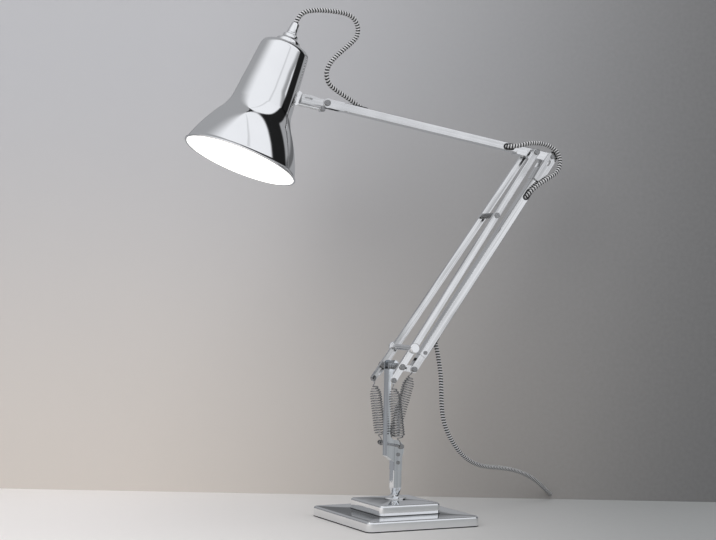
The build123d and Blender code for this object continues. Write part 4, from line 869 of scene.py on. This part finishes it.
def turned_piece(name, foot, profile, *materials, **options):
    """A lathe's work on the shade's axis, ridden by the head."""
    metres = [(radius * MM, (foot + height) * MM) for radius, height in profile]
    piece = lathe(name, RIM * MM, SHADE_WAY, SHADE_OUT, metres, *materials, **options)
    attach(piece, "head")
    return piece


def shade_profile():
    """The shade's outer line, from the rim to the vent hole in its crown."""
    bell = [RIM_CORNER] + arc(RIM_CORNER, BELL_MIDDLE, BELL_END, BELL_STEPS)
    bell_way = Vector(bell[-1]) - Vector(bell[-2])
    waist = tangent_arc(bell[-1], bell_way, (WAIST_RADIUS, WAIST_HEIGHT), BEND_STEPS)
    neck = [(WAIST_RADIUS + NECK_SLOPE * NECK_LENGTH * t, WAIST_HEIGHT + NECK_LENGTH * t) for t in QUARTERS]
    shoulder = tangent_arc(neck[-1], (NECK_SLOPE, 1), CROWN_CORNER, BEND_STEPS)
    return bell + waist + neck + shoulder + CROWN


def make_shade():
    """The chrome outside, the white inside a wall's thickness in, and a bead round the rim between them."""
    outer = shade_profile()
    inner = []
    for i, (radius, height) in enumerate(outer):
        before, after = Vector(outer[max(i - 1, 0)]), Vector(outer[min(i + 1, len(outer) - 1)])
        along = (after - before).normalized()
        inner.append((radius - along.y * SHADE_WALL, height + along.x * SHADE_WALL))
    bead = [(BEAD_MIDDLE[0] + BEAD_RADIUS * cos(radians(a)), BEAD_MIDDLE[1] + BEAD_RADIUS * sin(radians(a)))
            for a in BEAD_ANGLES]
    profile = inner[::-1] + bead[::-1] + outer[1:]
    enamel_then_chrome = [1] * (len(inner) - 1) + [0] * (len(profile) - len(inner))
    shade = turned_piece("shade_shell", 0.0, profile, CHROME, ENAMEL, sides=SHADE_SIDES,
                         parts=enamel_then_chrome, flat_above=50)
    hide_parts("shade")


def bulb_profile():
    """A globe from its lowest point up to where it narrows into its neck."""
    angles = [radians(a) for a in range(-83, 51, 7)]
    globe = [(BULB_RADIUS * cos(a), BULB_RADIUS + BULB_RADIUS * sin(a)) for a in angles]
    return [(0.0, 0.0)] + globe + BULB_NECK


def make_head_fittings():
    fittings = (
        ("vent_collar", VENT_FOOT, VENT_COLLAR, CHROME, 96, "vent_cap", "chrome"),
        ("cord_gland", GRIP_FOOT, CORD_GRIP, CHROME, 64, "cord_grip", "steel"),
        ("bulb_holder", HOLDER_FOOT, LAMP_HOLDER, BLACK, 64, "lamp_holder", "black_plastic"),
        ("bulb_glass", BULB_FOOT, bulb_profile(), BULB, 64, "bulb", "bulb_glass"),
    )
    for name, foot, profile, material, sides, node, slot in fittings:
        piece = turned_piece(name, foot, profile, material, sides=sides)
        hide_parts(node)


# Base

LOWER_HALF = 85.0
LOWER_CORNER = 8.0
LOWER_FOOT = 1.5
LOWER_TOP = 14.3
UPPER_HALF = 46.25
UPPER_CORNER = 6.0
UPPER_TOP = 28.8
TRAY_GAP = 0.05
EDGE_ROLL = 3.0
# The corners get tighter as the edge rolls inwards, by this share of the way in.
CORNER_SHARE = 0.6
DOME_RISE = 2.6
DOME_CORNER = 5.2
DOME_SHARES = (0.985, 0.93, 0.85, 0.72, 0.58, 0.44, 0.3)
# Each level of a square piece is (half side, corner radius, height).
PAD_LEVELS = [(84.2, 7.6, 0.0), (85.1, 8.1, 0.5), (85.1, 8.1, 1.3), (84.4, 7.7, 1.7)]
# A thin black ring at the foot of the upper tray: painted shadow in the gap between the trays.
GAP_SHADOW_LEVELS = [(46.9, 6.5, LOWER_TOP - 0.4), (46.9, 6.5, LOWER_TOP + 0.5), (46.2, 6.0, LOWER_TOP + 0.8)]


def square_ring(bm, half, corner, height, steps=10):
    """A ring of points round a square with round corners, anticlockwise from above."""
    ring = []
    for quarter in range(4):
        turn = radians(90 * quarter)
        for i in range(steps + 1):
            a = radians(90 * i / steps)
            x, y = half - corner + corner * cos(a), half - corner + corner * sin(a)
            spot = Vector((x * cos(turn) - y * sin(turn), x * sin(turn) + y * cos(turn), height))
            ring.append(bm.verts.new(spot * MM))
    return ring


def stacked(name, levels, material):
    """A square piece from its levels, closed at both ends."""
    bm = bmesh.new()
    rings = [square_ring(bm, *level) for level in levels]
    for low, high in zip(rings, rings[1:]):
        bridge(bm, low, high)
    bm.faces.new(rings[0][::-1])
    bm.faces.new(rings[-1])
    bmesh.ops.recalc_face_normals(bm, faces=bm.faces[:])
    return finished(name, bm, material, flat_above=40)


def rolled_edge(half, corner, top, steps=6):
    """The levels of a rounded top edge."""
    levels = []
    for i in range(steps + 1):
        a = radians(90 * i / steps)
        inward = 1 - cos(a)
        tighter = corner - EDGE_ROLL * inward * CORNER_SHARE
        levels.append((half - EDGE_ROLL * inward, tighter, top - EDGE_ROLL * (1 - sin(a))))
    return levels


def make_base():
    """Two trays, a thin black ring between them as painted shadow in their gap, and the pad below."""
    lower = [(LOWER_HALF, LOWER_CORNER, LOWER_FOOT), (LOWER_HALF, LOWER_CORNER, LOWER_FOOT + 0.5)]
    lower += rolled_edge(LOWER_HALF, LOWER_CORNER, LOWER_TOP)
    lower += [(UPPER_HALF + TRAY_GAP, UPPER_CORNER + 0.2, LOWER_TOP)]
    upper = [(UPPER_HALF, UPPER_CORNER, LOWER_TOP + TRAY_GAP)]
    upper += rolled_edge(UPPER_HALF, UPPER_CORNER, UPPER_TOP)
    for share in DOME_SHARES:
        height = UPPER_TOP + DOME_RISE * (1 - share * share)
        upper += [((UPPER_HALF - EDGE_ROLL) * share, DOME_CORNER * share, height)]
    pieces = (
        ("base_lower_tray", lower, BASE_CHROME, "chrome", "base_lower_cover"),
        ("base_upper_tray", upper, BASE_CHROME, "chrome", "base_upper_cover"),
        ("foot_pad", PAD_LEVELS, FELT, "pad", "base_pad"),
        # This black ring is painted shadow, not a part of the base.
        ("tray_gap_painted_shadow", GAP_SHADOW_LEVELS, RUBBER, "rubber", None),
    )
    for name, levels, material, slot, node in pieces:
        piece = stacked(name, levels, material)
        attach(piece, "base")
        if node:
            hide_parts(node)


# CAD nodes that keep their shape and get a finish

SKINS = (
    (CHROME, ("base_collar", "cross_rod", "cross_rod_discs", "shade_block", "head_stay")),
    (STEM_PLATE, ("stem_bar", "upright")),
    (LOWER_PLATE, ("lower_bar_near", "lower_bar_far", "crank_plate_near", "crank_plate_far",
                   "rear_link_foot", "rear_link_tube", "rear_link_head")),
    (UPPER_PLATE, ("upper_arm_tube", "elbow_saddle", "arm_fork", "head_arm")),
    (STEEL, ("stem_washer", "stem_nut", "stem_rivets", "spring_anchor_pin", "shoulder_bolt",
             "shoulder_spacers", "spring_top_pins", "arm_spacer", "elbow_bolt", "elbow_spacers",
             "crank_bush", "crank_pin", "rear_link_pin", "rear_link_screws", "head_pin", "head_stay_knob",
             "holder_nipple")),
    (RUBBER, ("link_upper_grommet", "link_lower_grommet", "cord_in_rear_link", "arm_rear_grommet",
              "arm_front_grommet", "cord_in_upper_arm")),
    (IRON, ("base_weight",)),
    (BLACK, ("plug_body",)),
    (BRASS, ("plug_pins",)),
)


def dress_nodes():
    for material, names in SKINS:
        for name in names:
            piece = nodes[name]
            piece.data.materials.clear()
            piece.data.materials.append(material)


place_camera()
make_loops()
make_mains_cord()
make_springs()
make_shade()
make_head_fittings()
make_base()
dress_nodes()
build_stage()
light_scene()
scene.view_settings.view_transform = "Standard"
